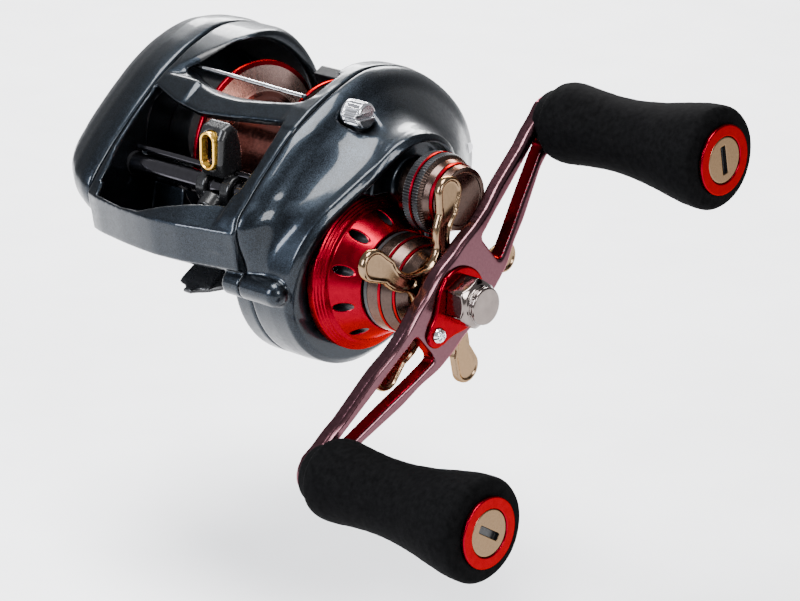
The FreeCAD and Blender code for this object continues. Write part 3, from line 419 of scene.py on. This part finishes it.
def finish_piece(thing, body, slot, *nodes):
    """Paints a piece, hangs it on its body and hides the CAD nodes that it stands for."""
    thing.data.materials.append(MATERIALS[slot])
    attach(thing, body)
    if nodes:
        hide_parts(*nodes)
    return thing


# ---------------------------------------------------------------- materials
class Surface:
    """A Principled material with a few shortcuts for what varies over it."""

    def __init__(self, name, **values):
        self.material = bpy.data.materials.new(name)
        self.material.use_nodes = True
        self.nodes = self.material.node_tree.nodes
        self.links = self.material.node_tree.links
        self.shader = self.nodes["Principled BSDF"]
        self.place = self.nodes.new("ShaderNodeTexCoord").outputs["Object"]
        self.bump = None
        for key, value in values.items():
            self.shader.inputs[key.replace("_", " ")].default_value = value

    def noise(self, scale, detail=3.0, stretch=None, kind="ShaderNodeTexNoise"):
        node = self.nodes.new(kind)
        node.inputs["Scale"].default_value = scale
        if kind == "ShaderNodeTexNoise":
            node.inputs["Detail"].default_value = detail
        place = self.place
        if stretch:
            mapping = self.nodes.new("ShaderNodeMapping")
            mapping.inputs["Scale"].default_value = stretch
            self.links.new(place, mapping.inputs["Vector"])
            place = mapping.outputs["Vector"]
        self.links.new(place, node.inputs["Vector"])
        return node.outputs["Fac" if kind == "ShaderNodeTexNoise" else "Distance"]

    def vary(self, socket, source, low, high, start=0.3, stop=0.7):
        """One number of the shader follows a pattern."""
        spread = self.nodes.new("ShaderNodeMapRange")
        spread.inputs["From Min"].default_value = start
        spread.inputs["From Max"].default_value = stop
        spread.inputs["To Min"].default_value = low
        spread.inputs["To Max"].default_value = high
        self.links.new(source, spread.inputs["Value"])
        self.links.new(spread.outputs["Result"], self.shader.inputs[socket])

    def tint(self, source, first, second, start=0.3, stop=0.7):
        """The colour runs from one to another along a pattern."""
        ramp = self.nodes.new("ShaderNodeValToRGB")
        ramp.color_ramp.elements[0].position = start
        ramp.color_ramp.elements[1].position = stop
        ramp.color_ramp.elements[0].color = (*first, 1)
        ramp.color_ramp.elements[1].color = (*second, 1)
        self.links.new(source, ramp.inputs["Fac"])
        self.links.new(ramp.outputs["Color"], self.shader.inputs["Base Color"])

    def relief(self, source, depth, strength=1.0):
        """Raises the surface along a pattern, by a depth in metres."""
        bump = self.nodes.new("ShaderNodeBump")
        bump.inputs["Distance"].default_value = depth
        bump.inputs["Strength"].default_value = strength
        self.links.new(source, bump.inputs["Height"])
        if self.bump:
            self.links.new(self.bump, bump.inputs["Normal"])
        self.bump = bump.outputs["Normal"]
        self.links.new(self.bump, self.shader.inputs["Normal"])


def flake_paint():
    s = Surface("flake_paint", Metallic=1.0, Roughness=0.36, Coat_Weight=0.3, Coat_Roughness=0.08)
    flakes = s.noise(5200, 1.0)
    s.tint(flakes, (0.0036, 0.0048, 0.0060), (0.020, 0.0260, 0.0345), 0.36, 0.72)
    s.vary("Roughness", s.noise(900, 2.0), 0.30, 0.42)
    s.relief(flakes, 0.00001, 0.35)
    return s.material


def foam():
    s = Surface("closed_cell_foam", Roughness=0.92, Specular_IOR_Level=0.03)
    pores = s.noise(2600, 4.0)
    s.tint(s.noise(900, 4.0), (0.0009, 0.0009, 0.0010), (0.0026, 0.0026, 0.0028))
    s.relief(pores, 0.00006, 0.55)
    s.relief(s.noise(700, 2.0), 0.00004, 0.35)
    return s.material


def anodised(name, colour, dark, rough=0.26, metal=0.9, scale=1800, coat=0.25):
    s = Surface(name, Metallic=metal, Roughness=rough, Coat_Weight=coat, Coat_Roughness=0.1)
    strongest = max(colour)
    s.shader.inputs["Specular Tint"].default_value = (*(0.1 + 0.9 * c / strongest for c in colour), 1)
    grain = s.noise(scale, 3.0)
    s.tint(grain, dark, colour, 0.25, 0.75)
    s.vary("Roughness", s.noise(scale * 0.6, 2.0), rough * 0.85, rough * 1.2)
    s.relief(grain, 0.000006, 0.3)
    return s.material


def metal(name, colour, dark, rough=0.22, stretch=(1, 60, 1)):
    s = Surface(name, Metallic=1.0, Roughness=rough)
    grain = s.noise(300, 3.0, stretch)
    s.tint(grain, dark, colour)
    s.vary("Roughness", s.noise(1200, 2.0), rough * 0.8, rough * 1.25)
    s.relief(grain, 0.000005, 0.3)
    return s.material


def plastic(name, colour, dark, rough=0.4):
    s = Surface(name, Roughness=rough, Specular_IOR_Level=0.35)
    grain = s.noise(2400, 3.0)
    s.tint(grain, dark, colour)
    s.vary("Roughness", s.noise(900, 2.0), rough * 0.85, rough * 1.15)
    s.relief(grain, 0.00001, 0.3)
    return s.material


def carbon():
    s = Surface("carbon_weave", Roughness=0.45)
    s.tint(s.noise(900, 1.0, (1, 1, 4)), (0.012, 0.012, 0.014), (0.05, 0.05, 0.055))
    return s.material


MATERIALS = {
    "body_paint": flake_paint(),
    "eva_foam": foam(),
    "black_plastic": plastic("black_plastic", (0.006, 0.006, 0.007), (0.0035, 0.0035, 0.004), 0.35),
    "dark_plastic": plastic("guide_plastic", (0.005, 0.005, 0.0055), (0.003, 0.003, 0.0033), 0.28),
    "white_plastic": plastic("gear_nylon", (0.72, 0.71, 0.68), (0.60, 0.59, 0.56), 0.5),
    "black_foot": plastic("foot_black", (0.006, 0.0065, 0.0075), (0.004, 0.004, 0.0045), 0.3),
    "steel": metal("bright_steel", (0.78, 0.78, 0.80), (0.58, 0.58, 0.60), 0.16),
    "tube_steel": metal("dark_tube", (0.10, 0.095, 0.105), (0.06, 0.058, 0.065), 0.14),
    "worm_steel": metal("worm_steel", (0.86, 0.83, 0.76), (0.70, 0.67, 0.60), 0.25),
    "bearing_steel": metal("bearing_steel", (0.70, 0.70, 0.72), (0.5, 0.5, 0.52), 0.2),
    "magnet_grey": metal("nickel", (0.32, 0.32, 0.33), (0.22, 0.22, 0.23), 0.35),
    "red_anodised": anodised("red_anodised", (0.18, 0.0001, 0.0085), (0.145, 0.0001, 0.007),
                             0.26, 1.0, 900, 0),
    "red_band": anodised("red_band", (0.20, 0.0001, 0.0095), (0.16, 0.0001, 0.008), 0.30, 1.0, 900, 0),
    "gold_insert": anodised("gold_insert", (0.95, 0.58, 0.10), (0.85, 0.48, 0.07), 0.16),
    "brass": metal("brass", (0.72, 0.52, 0.22), (0.55, 0.38, 0.15), 0.25),
    "champagne_spool": anodised("champagne_spool", (0.52, 0.345, 0.30), (0.46, 0.30, 0.26), 0.27, 0.95),
    "carbon": carbon(),
    "handle_anodised": anodised("handle_anodised", (0.095, 0.042, 0.050), (0.072, 0.031, 0.038),
                                0.20, 1.0, 1800, 0.1),
    "dark_chrome": metal("dark_chrome", (0.19, 0.16, 0.145), (0.145, 0.12, 0.11), 0.13),
    "hub_brown": anodised("hub_brown", (0.055, 0.035, 0.029), (0.040, 0.026, 0.021), 0.24, 1.0, 1800, 0.1),
    "slot_red": anodised("slot_red", (0.12, 0.0001, 0.006), (0.08, 0.0001, 0.004), 0.22, 1.0, 1800, 0),
    "arbor_copper": metal("arbor_copper", (0.20, 0.075, 0.06), (0.15, 0.05, 0.04), 0.2),
    "star_bronze": anodised("star_bronze", (0.20, 0.130, 0.075), (0.165, 0.108, 0.062), 0.17, 1.0, 1800, 0.1),
    "champagne_cap": anodised("champagne_cap", (0.15, 0.100, 0.060), (0.125, 0.083, 0.050),
                              0.25, 1.0, 1800, 0),
}
for part in frame["record"]["subparts"]:
    shown = frame["nodes"][part["node"]].data
    shown.materials.clear()
    shown.materials.append(MATERIALS[part["material_slot"]])


# ---------------------------------------------------------------- turned pieces
def softened(profile, soft):
    """A closed profile with its corners rounded."""
    made, count = [], len(profile)
    for i, corner in enumerate(profile):
        here = np.array(corner)
        for other, ts in ((np.array(profile[i - 1]), (1.0, 0.5)),
                          (np.array(profile[(i + 1) % count]), (0.5, 1.0))):
            reach = np.linalg.norm(other - here)
            edge = here + (other - here) / max(reach, 1e-6) * min(soft, 0.42 * reach)
            for t in ts:
                pull = here * 0.6 + edge * 0.4 if t == 0.5 else edge
                made.append(tuple(pull))
    return made


def divided(profile, step):
    """The profile with extra points, so that none of its edges is longer than a step."""
    made = []
    for (ar, ay), (br, by) in zip(profile, profile[1:] + profile[:1]):
        parts = max(1, int(math.hypot(br - ar, by - ay) / step))
        made += [(ar + (br - ar) * i / parts, ay + (by - ay) * i / parts) for i in range(parts)]
    return made


def lathe(name, axis, profile, turns=144, ripple=None):
    """A turned piece; a ripple changes the radius along the length and round the axis."""
    radius, length = (np.array(each)[:, None] for each in zip(*profile))
    angle = np.arange(turns)[None, :] * 2 * math.pi / turns
    radius = np.broadcast_to(np.maximum(radius, 0.02), (len(profile), turns))
    if ripple:
        radius = ripple(radius, length, angle)
    points = np.stack([axis[0] + radius * np.cos(angle), np.broadcast_to(length, radius.shape),
                       axis[1] + radius * np.sin(angle)], axis=-1).reshape(-1, 3)
    a = np.arange(len(profile))[:, None] * turns + np.arange(turns)[None, :]
    b = np.roll(a, -1, axis=1)
    faces = np.stack([a, b, np.roll(b, -1, axis=0), np.roll(a, -1, axis=0)], axis=-1).reshape(-1, 4)
    return make_mesh(name, points, faces, sharp=50)


def second_material(thing, slot, chosen):
    """Gives another material to the faces whose centres are chosen, in millimetres."""
    mesh = thing.data
    mesh.materials.append(MATERIALS[slot])
    centres = np.empty(len(mesh.polygons) * 3)
    mesh.polygons.foreach_get("center", centres)
    picked = chosen(*(centres.reshape(-1, 3).T / MM))
    index = np.zeros(len(mesh.polygons), dtype=np.int32)
    mesh.polygons.foreach_get("material_index", index)
    index = np.where(picked, len(mesh.materials) - 1, index).astype(np.int32)
    mesh.polygons.foreach_set("material_index", index)


def make_grip(name, axis):
    """A waisted foam knob, very slightly uneven."""
    bore = [(FOAM_BORE, FOAM_END), (FOAM_BORE, FOAM_START)]
    outside = [(7.3, 56.6), (8.4, 57.5), (8.8, 60.5), (8.35, 66), (8.0, 72), (8.2, 78), (9.0, 84.5),
               (10.1, 90.2), (10.9, 94.8), (11.15, 98.3), (10.9, 99.8), (9.9, 100.65), (7.6, 100.75)]
    per_side = 10
    smooth = rounded(bore + outside, per_side)[2 * per_side:-per_side]
    phases = np.random.default_rng(7).uniform(0, 2 * math.pi, (6, 2))

    def ripple(radius, length, angle):
        wave = sum(np.sin(angle * (2 + i) + length * (0.31 + 0.17 * i) + a) * np.cos(length * 0.4 * i + b)
                   for i, (a, b) in enumerate(phases))
        return radius + np.where(radius > 6.5, 0.018 * wave, 0)

    thing = lathe(name + "_foam", axis, divided(bore + smooth, 0.6), 160, ripple)
    return finish_piece(thing, name + "_knob", "eva_foam", name + "_grip")


def make_knob_end(name, axis, turn):
    """The red ring and the slotted champagne cap."""
    ring = softened([(5.1, 100.8), (7.54, 100.8), (7.54, 101.8), (5.1, 101.8)], 0.3)
    finish_piece(lathe(name + "_end_ring", axis, ring), name + "_knob", "red_anodised", name + "_ring")
    f = Field((-5.2, 98.9, -5.2), (5.2, 101.9, 5.2), 0.09)
    cap = both(np.hypot(f.x, f.z) - 5.03, between(f.y, 99.0, 101.68), 0.35)
    slot = both(both(np.abs(f.x) - 3.1, np.abs(f.z) - 0.8, 0.3), 100.6 - f.y, 0.1)
    thing = f.mesh(name + "_end_cap", without(cap, slot, 0.15), turn, axis)
    finish_piece(thing, name + "_knob", "champagne_cap", name + "_cap")
    # Painted shade: the floor and lower walls of the cap's slot get the black plastic colour, standing for
    # the shade in the slot.
    second_material(thing, "black_plastic", lambda x, y, z: (y < 101.45) & (
        np.hypot(x - axis[0], z - axis[1]) < 3.6))


SLOT_HALF = [(11, 4.6), (14, 4.4), (20, 3.9), (27, 3.0), (35, 2.2), (41, 1.6), (50, 1.4)]
ARM_FRONT = [(0, 60.0), (14, 60.0), (40, 55.0), (60, 55.0)]


def make_crank():
    """The bowed double arm with its two red slots."""
    f = Field((-53, 50.9, -9), (53, 60.3, 9), 0.24)
    u = np.abs(f.x)
    width = bend(u, [(0, 8.2), (9, 8.2), (14, 7.5), (19, 6.45), (25, 6.25), (31, 5.3), (37, 4.35),
                     (43, 4.5), (47.5, 4.9)], 2.5)
    across = np.abs(f.z)
    blade = both(across - width, u - KNOB_REACH, 0.2)
    blade = either(blade, np.hypot(u - KNOB_REACH, across) - 4.9, 1.0)
    blade = either(blade, np.hypot(u, across) - 8.4, 2.0)
    half = bend(u, SLOT_HALF, 2.0)
    slot = both(both(across - half, 13.0 - u, 1.8), u - 41.8, 1.6)
    front = bend(u, ARM_FRONT, 3.0)
    slab = chamfered(blade, f.y - front, 0.75)
    slab = both(slab, front - 3.5 - f.y, 0.6)
    arm = chamfered(slab, -slot, 0.1)
    arm = both(arm, (-slot + (f.y - front)) * 0.7071 + 0.28, 0.2)
    arm = without(arm, np.hypot(f.x, f.z) - NUT_BORE, 0.2)
    arm = without(arm, np.hypot(f.x - RETAINER_SCREW, f.z) - 0.85, 0.1)
    thing = f.mesh("crank_arm", arm, CRANK_TURN, (GEAR_X, GEAR_Z))
    finish_piece(thing, "crank", "handle_anodised", "handle_arm")
    c, s = math.cos(CRANK_TURN), math.sin(CRANK_TURN)

    def slot_walls(x, y, z):
        along = np.abs((x - GEAR_X) * c - (z - GEAR_Z) * s)
        aside = np.abs((x - GEAR_X) * s + (z - GEAR_Z) * c)
        half = np.interp(along, *zip(*SLOT_HALF))
        face = np.interp(along, *zip(*ARM_FRONT))
        return (aside < half + 0.32) & (along > 12.4) & (along < 42.2) & (y < face - 0.45)

    second_material(thing, "slot_red", slot_walls)


def make_star():
    """The drag star: paddle-shaped arms that sweep back a little, each with a raised lip."""
    f = Field((-25.6, 51.6, -25.6), (25.6, 55.5, 25.6), 0.22)
    radius = np.hypot(f.x, f.z)
    fan = 2 * math.pi / STAR_ARMS
    first = math.radians(28.0)
    angle = (np.arctan2(f.z, f.x) - first + fan / 2) % fan - fan / 2
    bent = angle + 0.16 * np.clip((radius - 7) / 9, 0, 1) * np.clip((17 - radius) / 5, 0, 1)
    u, v = radius * np.cos(bent), np.abs(radius * np.sin(bent))
    paddle = teardrop(u - 11.9, v, 9.6, 1.75, 3.55)
    stem = both(v - 1.7, u - 14, 0.5)
    plan = either(paddle, stem, 1.5)
    plan = either(plan, radius - 6.6, 6.0)
    middle = 53.9 - 0.058 * np.clip(radius - 6, 0, None)
    body = both(plan, np.abs(f.y - middle) - 1.1, 0.9)
    dish = both(both(plan + 0.95, 8.6 - radius, 1.5), middle + 0.62 - f.y, 0.3)
    body = without(body, dish, 0.5)
    body = either(body, both(radius - 7.2, between(f.y, 52.5, 55.35), 0.7), 0.8)
    body = without(body, radius - 3.6, 0.3)
    thing = f.mesh("star_drag_wheel", body, 0, (GEAR_X, GEAR_Z))
    finish_piece(thing, "star_drag", "star_bronze", "star_wheel")


def make_hub():
    """The banded hub below the drag star."""
    hub = softened([(3.6, 43.2), (10.9, 43.2), (10.75, 46.2), (10.1, 46.2), (10.1, 46.95), (10.6, 46.95),
                    (9.6, 49.4), (9.0, 49.4), (9.0, 50.1), (9.2, 50.1), (7.6, 52.4), (3.6, 52.4)], 0.22)
    finish_piece(lathe("drag_hub", (GEAR_X, GEAR_Z), hub), "star_drag", "hub_brown", "star_hub")


def make_disc():
    """The stepped red disc with its vents."""
    f = Field((-17.6, 31.5, -17.6), (17.6, 42.0, 17.6), 0.17)
    radius = np.hypot(f.x, f.z)
    side = [(14.1, 31.7), (17.2, 31.7), (17.2, 33.5), (16.75, 33.7), (16.7, 34.1), (16.25, 34.2),
            (16.2, 34.6), (15.75, 34.7), (15.7, 35.1), (15.25, 35.25), (15.0, 35.3), (14.6, 35.5),
            (11.2, 41.7), (9.5, 41.7), (9.5, 37.5), (13.6, 33.7)]
    body = polygon(side, radius, f.y) - 0.06
    vents = None
    for number in range(VENTS):
        turn = math.radians(18 + 360 / VENTS * number)
        along = f.x * math.cos(turn) + f.z * math.sin(turn)
        aside = -f.x * math.sin(turn) + f.z * math.cos(turn)
        hole = np.hypot(aside, (along - VENT_RADIUS) * 0.86) - 1.0
        hole = np.maximum(hole, 34.5 - f.y)
        vents = hole if vents is None else np.minimum(vents, hole)
    body = without(body, vents, 0.3)
    thing = f.mesh("cover_disc", body, 0, (GEAR_X, GEAR_Z))
    finish_piece(thing, "housing", "red_anodised", "gear_cover")

    # Painted shade: the walls and floors of the vents get the black plastic colour, standing for the dark
    # shade inside the holes.
    def vents_painted_shade(x, y, z):
        fan = 2 * math.pi / VENTS
        turn = (np.arctan2(z - GEAR_Z, x - GEAR_X) - math.radians(18)) % fan
        turn = np.minimum(turn, fan - turn)
        r = np.hypot(x - GEAR_X, z - GEAR_Z)
        surface = 35.5 + (14.6 - r) * 6.2 / 3.4
        near = np.hypot(r * np.sin(turn), (r * np.cos(turn) - VENT_RADIUS) * 0.86) < 1.12
        return near & (y < surface - 0.28)

    second_material(thing, "black_plastic", vents_painted_shade)


def knurl(count, depth, low, high, least):
    """Fine ridges along the length, between two places on a turned piece."""
    def ripple(radius, length, angle):
        ridged = (length > low) & (length < high) & (radius > least)
        return radius - np.where(ridged, depth * (0.5 - 0.5 * np.cos(count * angle)), 0)
    return ripple


def make_cast_control():
    """The knurled tension knob."""
    profile = softened([
        (6.06, 38.7), (7.2, 38.7), (7.2, 41.9), (8.9, 41.9), (8.9, 43.75), (8.6, 43.8), (8.6, 44.4),
        (8.9, 44.45), (8.9, 45.9), (7.9, 46.8), (7.45, 48.35), (6.8, 48.4), (6.8, 49.3), (7.2, 49.35),
        (6.9, 51.25), (5.9, 51.25), (5.7, 50.9), (0, 50.9), (0, 48.2), (6.06, 48.2)], 0.18)
    ripple = knurl(84, 0.3, 41.95, 46.1, 8.7)
    thing = lathe("cast_control_knob", (SPOOL_X, SPOOL_Z), profile, 84 * 8, ripple)
    finish_piece(thing, "cast_control", "hub_brown", "tension_knob")
    second_material(thing, "black_plastic", lambda x, y, z: (y > 41.9) & (y < 46.2)
                    & (from_spool(x, z) > 8.3))


def make_thumbscrew():
    """The knurled screw that holds the cover."""
    f = Field((-3.2, 15.4, -3.2), (3.2, 29.3, 3.2), 0.11)
    radius, angle = np.hypot(f.x, f.z), np.arctan2(f.z, f.x)
    ridges = 0.16 * (1 - np.cos(angle * 18)) * (np.abs(f.y - 26.6) < 2.0)
    head = chamfered(radius - 3.0 + ridges, f.y - 29.15, 0.5)
    head = both(head, 23.7 - f.y, 0.4)
    head = without(head, both(np.abs(f.z) - 0.55, 28.2 - f.y, 0.1), 0.15)
    shank = both(radius - 1.2, between(f.y, 15.6, 25), 0.2)
    thing = f.mesh("cover_thumbscrew", np.minimum(head, shank), 0, (SCREW_X, SCREW_Z))
    finish_piece(thing, "cover_screw", "steel", "thumbscrew")


def make_crank_nut():
    """The nut, its retainer plate and the plate's cross-headed screw."""
    f = Field((-6, 60.7, -6), (6, 68, 6), 0.12)
    radius = np.hypot(f.x, f.z)
    angle = (np.arctan2(f.z, f.x) - math.radians(15)) % (math.pi / 3) - math.pi / 6
    flats = radius * np.cos(angle) - 4.95
    nut = both(flats, between(f.y, 60.85, 65.9), 0.35)
    nut = both(nut, radius - 5.55 + np.clip(f.y - 65.0, 0, None) * 1.2, 0.2)
    end = both(radius - 4.1, between(f.y, 64, 67.9), 0.45)
    end = without(end, both(np.abs(f.y - 66.4) - 0.14, 3.85 - radius, 0.1), 0.1)
    end = without(end, both(np.abs(f.y - 67.0) - 0.10, 3.9 - radius, 0.1), 0.1)
    nut = without(either(nut, end, 0.3), np.maximum(radius - NUT_BORE, f.y - 64), 0.1)
    thing = f.mesh("crank_nut", nut, CRANK_TURN, (GEAR_X, GEAR_Z))
    finish_piece(thing, "crank", "dark_chrome", "handle_nut")

    f = Field((-7.4, 59.9, -7.4), (12.8, 60.9, 7.4), 0.11)
    flanks = [(0, -7.1), (RETAINER_SCREW, -3.0), (RETAINER_SCREW, 3.0), (0, 7.1)]
    plan = either(np.hypot(f.x, f.z) - 7.15, np.hypot(f.x - RETAINER_SCREW, f.z) - 2.95, 0.5)
    plan = either(plan, polygon(flanks, f.x, f.z), 1.2)
    plate = chamfered(plan, f.y - 60.8, 0.3)
    plate = both(plate, 60.02 - f.y, 0.1)
    plate = without(plate, np.hypot(f.x, f.z) - NUT_BORE, 0.1)
    plate = without(plate, np.hypot(f.x - RETAINER_SCREW, f.z) - 0.85, 0.1)
    thing = f.mesh("retainer_plate", plate, CRANK_TURN, (GEAR_X, GEAR_Z))
    finish_piece(thing, "crank", "red_anodised", "nut_retainer")

    f = Field((7.7, 56.9, -1.9), (11.5, 62.4, 1.9), 0.07)
    across, radius = f.x - RETAINER_SCREW, np.hypot(f.x - RETAINER_SCREW, f.z)
    head = both(np.sqrt(radius ** 2 + np.clip(f.y - 60.2, 0, None) ** 2 * 0.75) - 1.85,
                between(f.y, 60.82, 62.25), 0.25)
    cross = np.minimum(both(np.abs(across) - 1.15, np.abs(f.z) - 0.24, 0.1),
                       both(np.abs(across) - 0.24, np.abs(f.z) - 1.15, 0.1))
    head = without(head, np.maximum(cross, 61.4 - f.y), 0.12)
    shank = both(radius - 0.8, between(f.y, 57, 61.2), 0.1)
    thing = f.mesh("retainer_cross_screw", np.minimum(head, shank), CRANK_TURN, (GEAR_X, GEAR_Z))
    finish_piece(thing, "crank", "steel", "retainer_screw")


def make_line_spool():
    """The spool, with red rims and a copper arbor."""
    half = 12.6
    profile = [(19.15, -half), (19.15, 1 - half), (18.2, 1.15 - half), (12.6, 2.0 - half), (11.2, 2.4 - half),
               (10.5, 3.4 - half), (10.5, half - 3.4), (11.2, half - 2.4), (12.6, half - 2.0),
               (18.2, half - 1.15), (19.15, half - 1), (19.15, half), (9, half), (9, 2), (1.5, 2), (1.5, -2),
               (9, -2), (9, -half)]
    thing = lathe("line_spool_body", (SPOOL_X, SPOOL_Z), softened(profile, 0.3))
    finish_piece(thing, "line_spool", "champagne_spool", "spool")
    second_material(thing, "red_anodised",
                    lambda x, y, z: from_spool(x, z) > 18.15)
    second_material(thing, "arbor_copper",
                    lambda x, y, z: (from_spool(x, z) < 12.0) & (np.abs(y) < 10.4))


def make_carriage():
    """The line guide's block and its gold insert."""
    f = Field((-4.6, -5.6, -6.6), (6.4, 5.6, 16), 0.16)
    block = [(-2.6, 3.4), (3.2, 3.4), (4.3, 6.5), (4.1, 12.2), (2.9, 14.4), (0.6, 15.3), (-1.6, 13.4),
             (-2.6, 9)]
    head = both(polygon(block, f.x, f.z), np.abs(f.y) - 3.85, 1.6)
    tube = np.hypot(f.x, f.z)
    for middle in (-3.8, 3.8):
        head = either(head, both(tube - 3.85, np.abs(f.y - middle) - 1.4, 0.5), 0.4)
    turn = math.radians(50)
    along = f.x * math.sin(turn) - f.z * math.cos(turn)
    aside = np.hypot(f.x * math.cos(turn) + f.z * math.sin(turn), f.y)
    nose = both(aside - 2.9, between(along, 2.8, 6.4), 0.6)
    head = either(head, nose, 0.5)
    head = without(head, tube - 2.7, 0.15)
    head = without(head, np.hypot(f.x + 0.48, f.z - 3.93) - 0.88, 0.1)
    window = np.hypot(f.y, np.clip(np.abs(f.z - 9.3) - 2.0, 0, None)) - 2.33
    head = without(head, window, 0.5)
    head = without(head, np.maximum(aside - 1.5, 3.2 - along), 0.1)
    thing = f.mesh("guide_block", head, 0, (WORM_X, WORM_Z))
    thing.data.transform(Matrix.Translation((0, GUIDE_Y * MM, 0)))
    finish_piece(thing, "line_guide", "dark_plastic", "guide_carriage")

    f = Field((2.8, -2.6, 4.8), (5.2, 2.6, 13.8), 0.08)
    ring = np.hypot(f.y, np.clip(np.abs(f.z - 9.3) - 2.0, 0, None))
    lip = np.sqrt((ring - 1.98) ** 2 + (np.clip(np.abs(f.x - 3.9) - 0.75, 0, None)) ** 2) - 0.31
    thing = f.mesh("gold_line_insert", lip, 0, (WORM_X, WORM_Z))
    thing.data.transform(Matrix.Translation((0, GUIDE_Y * MM, 0)))
    finish_piece(thing, "line_guide", "gold_insert", "line_insert")


def make_worm():
    """The worm with its two crossed grooves."""
    def grooves(radius, length, angle):
        cut = 0
        for hand in (1, -1):
            wave = np.cos(angle - hand * length * 2 * math.pi / 4.2)
            cut = np.maximum(cut, np.clip((wave - 0.55) / 0.3, 0, 1))
        return radius - np.where((radius > 1.85) & (length > -24.8) & (length < 12.8), 0.55 * cut, 0)

    profile = [(0, -26.8), (1.2, -26.8), (1.2, -25.2), (1.95, -25.2), (1.95, 13.2), (1.2, 13.2), (1.2, 21.8),
               (0, 21.8)]
    thing = lathe("crossed_worm", (WORM_X, WORM_Z), divided(profile, 0.25), 72, grooves)
    finish_piece(thing, "worm", "worm_steel", "worm_shaft")


def make_foot():
    """The foot that a rod's seat clamps."""
    f = Field((-32.6, -7.1, 0), (32.6, 7.1, 5.7), 0.25)
    u, v = np.abs(f.x), np.abs(f.y)
    half = bend(u, [(0, 7.0), (8.5, 7.0), (13, 6.2), (27, 4.4), (30.5, 3.3), (32.4, 1.2)], 2.0)
    top = bend(u, [(0, 2.35), (14, 2.35), (32.5, 1.0), (40, 0.9)], 2.5)
    plate = both(both((v - half) * 0.93, f.z - top, 0.6), -f.z, 0.3)
    stem = [(14.5, 1.0), (31.4, 1.0), (30.4, 2.1), (25.0, 5.4), (14.5, 2.45)]
    stem = both(polygon(stem, f.x, f.z), v - 4.95, 0.8)
    thing = f.mesh("rod_foot", either(plate, stem, 1.0))
    finish_piece(thing, "housing", "black_foot", "reel_foot")


def make_thumb_bar():
    """The bar that the thumb presses to free the spool."""
    f = Field((-28.2, -13.8, 28.4), (-18.8, 16.9, 39.2), 0.2)
    low = [(-27.8, 28.7), (-23.2, 28.7), (-21.6, 32.5), (-22.6, 34.8), (-26.4, 34.8)]
    wing = [(-27.8, 28.7), (-23.2, 28.7), (-20.8, 34), (-19.2, 37.4), (-22, 38.8), (-26.3, 36.4)]
    bar = both(polygon(low, f.x, f.z), between(f.y, -13.7, 13.1), 0.9)
    bar = either(bar, both(polygon(wing, f.x, f.z), between(f.y, -13.7, -3.0), 0.9), 1.5)
    tab = [(-26.9, 29.6), (-24.1, 29.6), (-24.1, 32.9), (-26.9, 32.9)]
    bar = np.minimum(bar, both(polygon(tab, f.x, f.z), between(f.y, 12, 16.75), 0.3))
    for line in range(5):
        groove = np.hypot(f.z - 34.9, f.x + 26.0 - line * 0.8) - 0.18
        bar = without(bar, groove, 0.1)
    thing = f.mesh("thumb_release_bar", bar)
    finish_piece(thing, "thumb_release", "black_plastic", "thumb_bar")


make_handle_cover()
make_palm_cover()
make_frame()
make_disc()
make_line_spool()
make_carriage()
make_worm()
make_crank()
make_crank_nut()
make_star()
make_hub()
make_cast_control()
make_thumbscrew()
make_foot()
make_thumb_bar()
for side, place, slot_turn in (("upper", UPPER, -1.38), ("lower", LOWER, -0.55)):
    make_grip(side, place)
    make_knob_end(side, place, slot_turn)


# ---------------------------------------------------------------- stage, lights and camera
def make_stage():
    """The pale floor."""
    ground = cad_box[0][2] - 0.035
    mesh = bpy.data.meshes.new("floor")
    mesh.from_pydata([(-4, -4, ground), (4, -4, ground), (4, 4, ground), (-4, 4, ground)], [], [(0, 1, 2, 3)])
    floor = bpy.data.objects.new("floor", mesh)
    bpy.context.collection.objects.link(floor)
    s = Surface("pale_floor", Roughness=0.85)
    s.tint(s.noise(40, 2.0), (0.86, 0.86, 0.87), (0.90, 0.90, 0.91))
    mesh.materials.append(s.material)


def soft_light(name, place, aim, size, power, colour=(1, 1, 1)):
    """A rectangular light that faces a place."""
    light = bpy.data.lights.new(name, "AREA")
    light.shape = "RECTANGLE"
    light.size, light.size_y = size
    light.energy = power
    light.color = colour
    thing = bpy.data.objects.new(name, light)
    bpy.context.collection.objects.link(thing)
    thing.location = place
    thing.rotation_euler = (Vector(aim) - Vector(place)).to_track_quat("-Z", "Y").to_euler()


def make_lights():
    """An even sky and four large soft lights."""
    world = bpy.data.worlds.new("studio")
    world.use_nodes = True
    world.node_tree.nodes["Background"].inputs["Color"].default_value = (0.93, 0.95, 1.0, 1)
    world.node_tree.nodes["Background"].inputs["Strength"].default_value = 0.5
    bpy.context.scene.world = world
    soft_light("overhead", (0.1, -0.05, 0.75), (0, 0, 0.02), (0.5, 0.35), 17)
    soft_light("front_left", (0.75, -0.25, 0.35), (0, 0, 0.02), (0.25, 0.4), 12, (0.88, 0.92, 1.0))
    soft_light("crank_side", (0.25, 0.80, 0.40), (0, 0.03, 0.01), (0.25, 0.35), 8)
    soft_light("back_rim", (-0.55, -0.50, 0.45), (0, -0.02, 0.04), (0.5, 0.3), 14)


def make_camera():
    """A long lens from the front, above the crank side."""
    data = bpy.data.cameras.new("camera")
    data.sensor_width = 36
    data.lens = 157.3
    camera = bpy.data.objects.new("camera", data)
    bpy.context.collection.objects.link(camera)
    camera.location = (0.5244, 0.5377, 0.2378)
    camera.rotation_euler = Vector((-0.6841, -0.6588, -0.3130)).to_track_quat("-Z", "Y").to_euler()
    data.clip_start = 0.05
    data.clip_end = 20
    bpy.context.scene.camera = camera


make_stage()
make_lights()
make_camera()
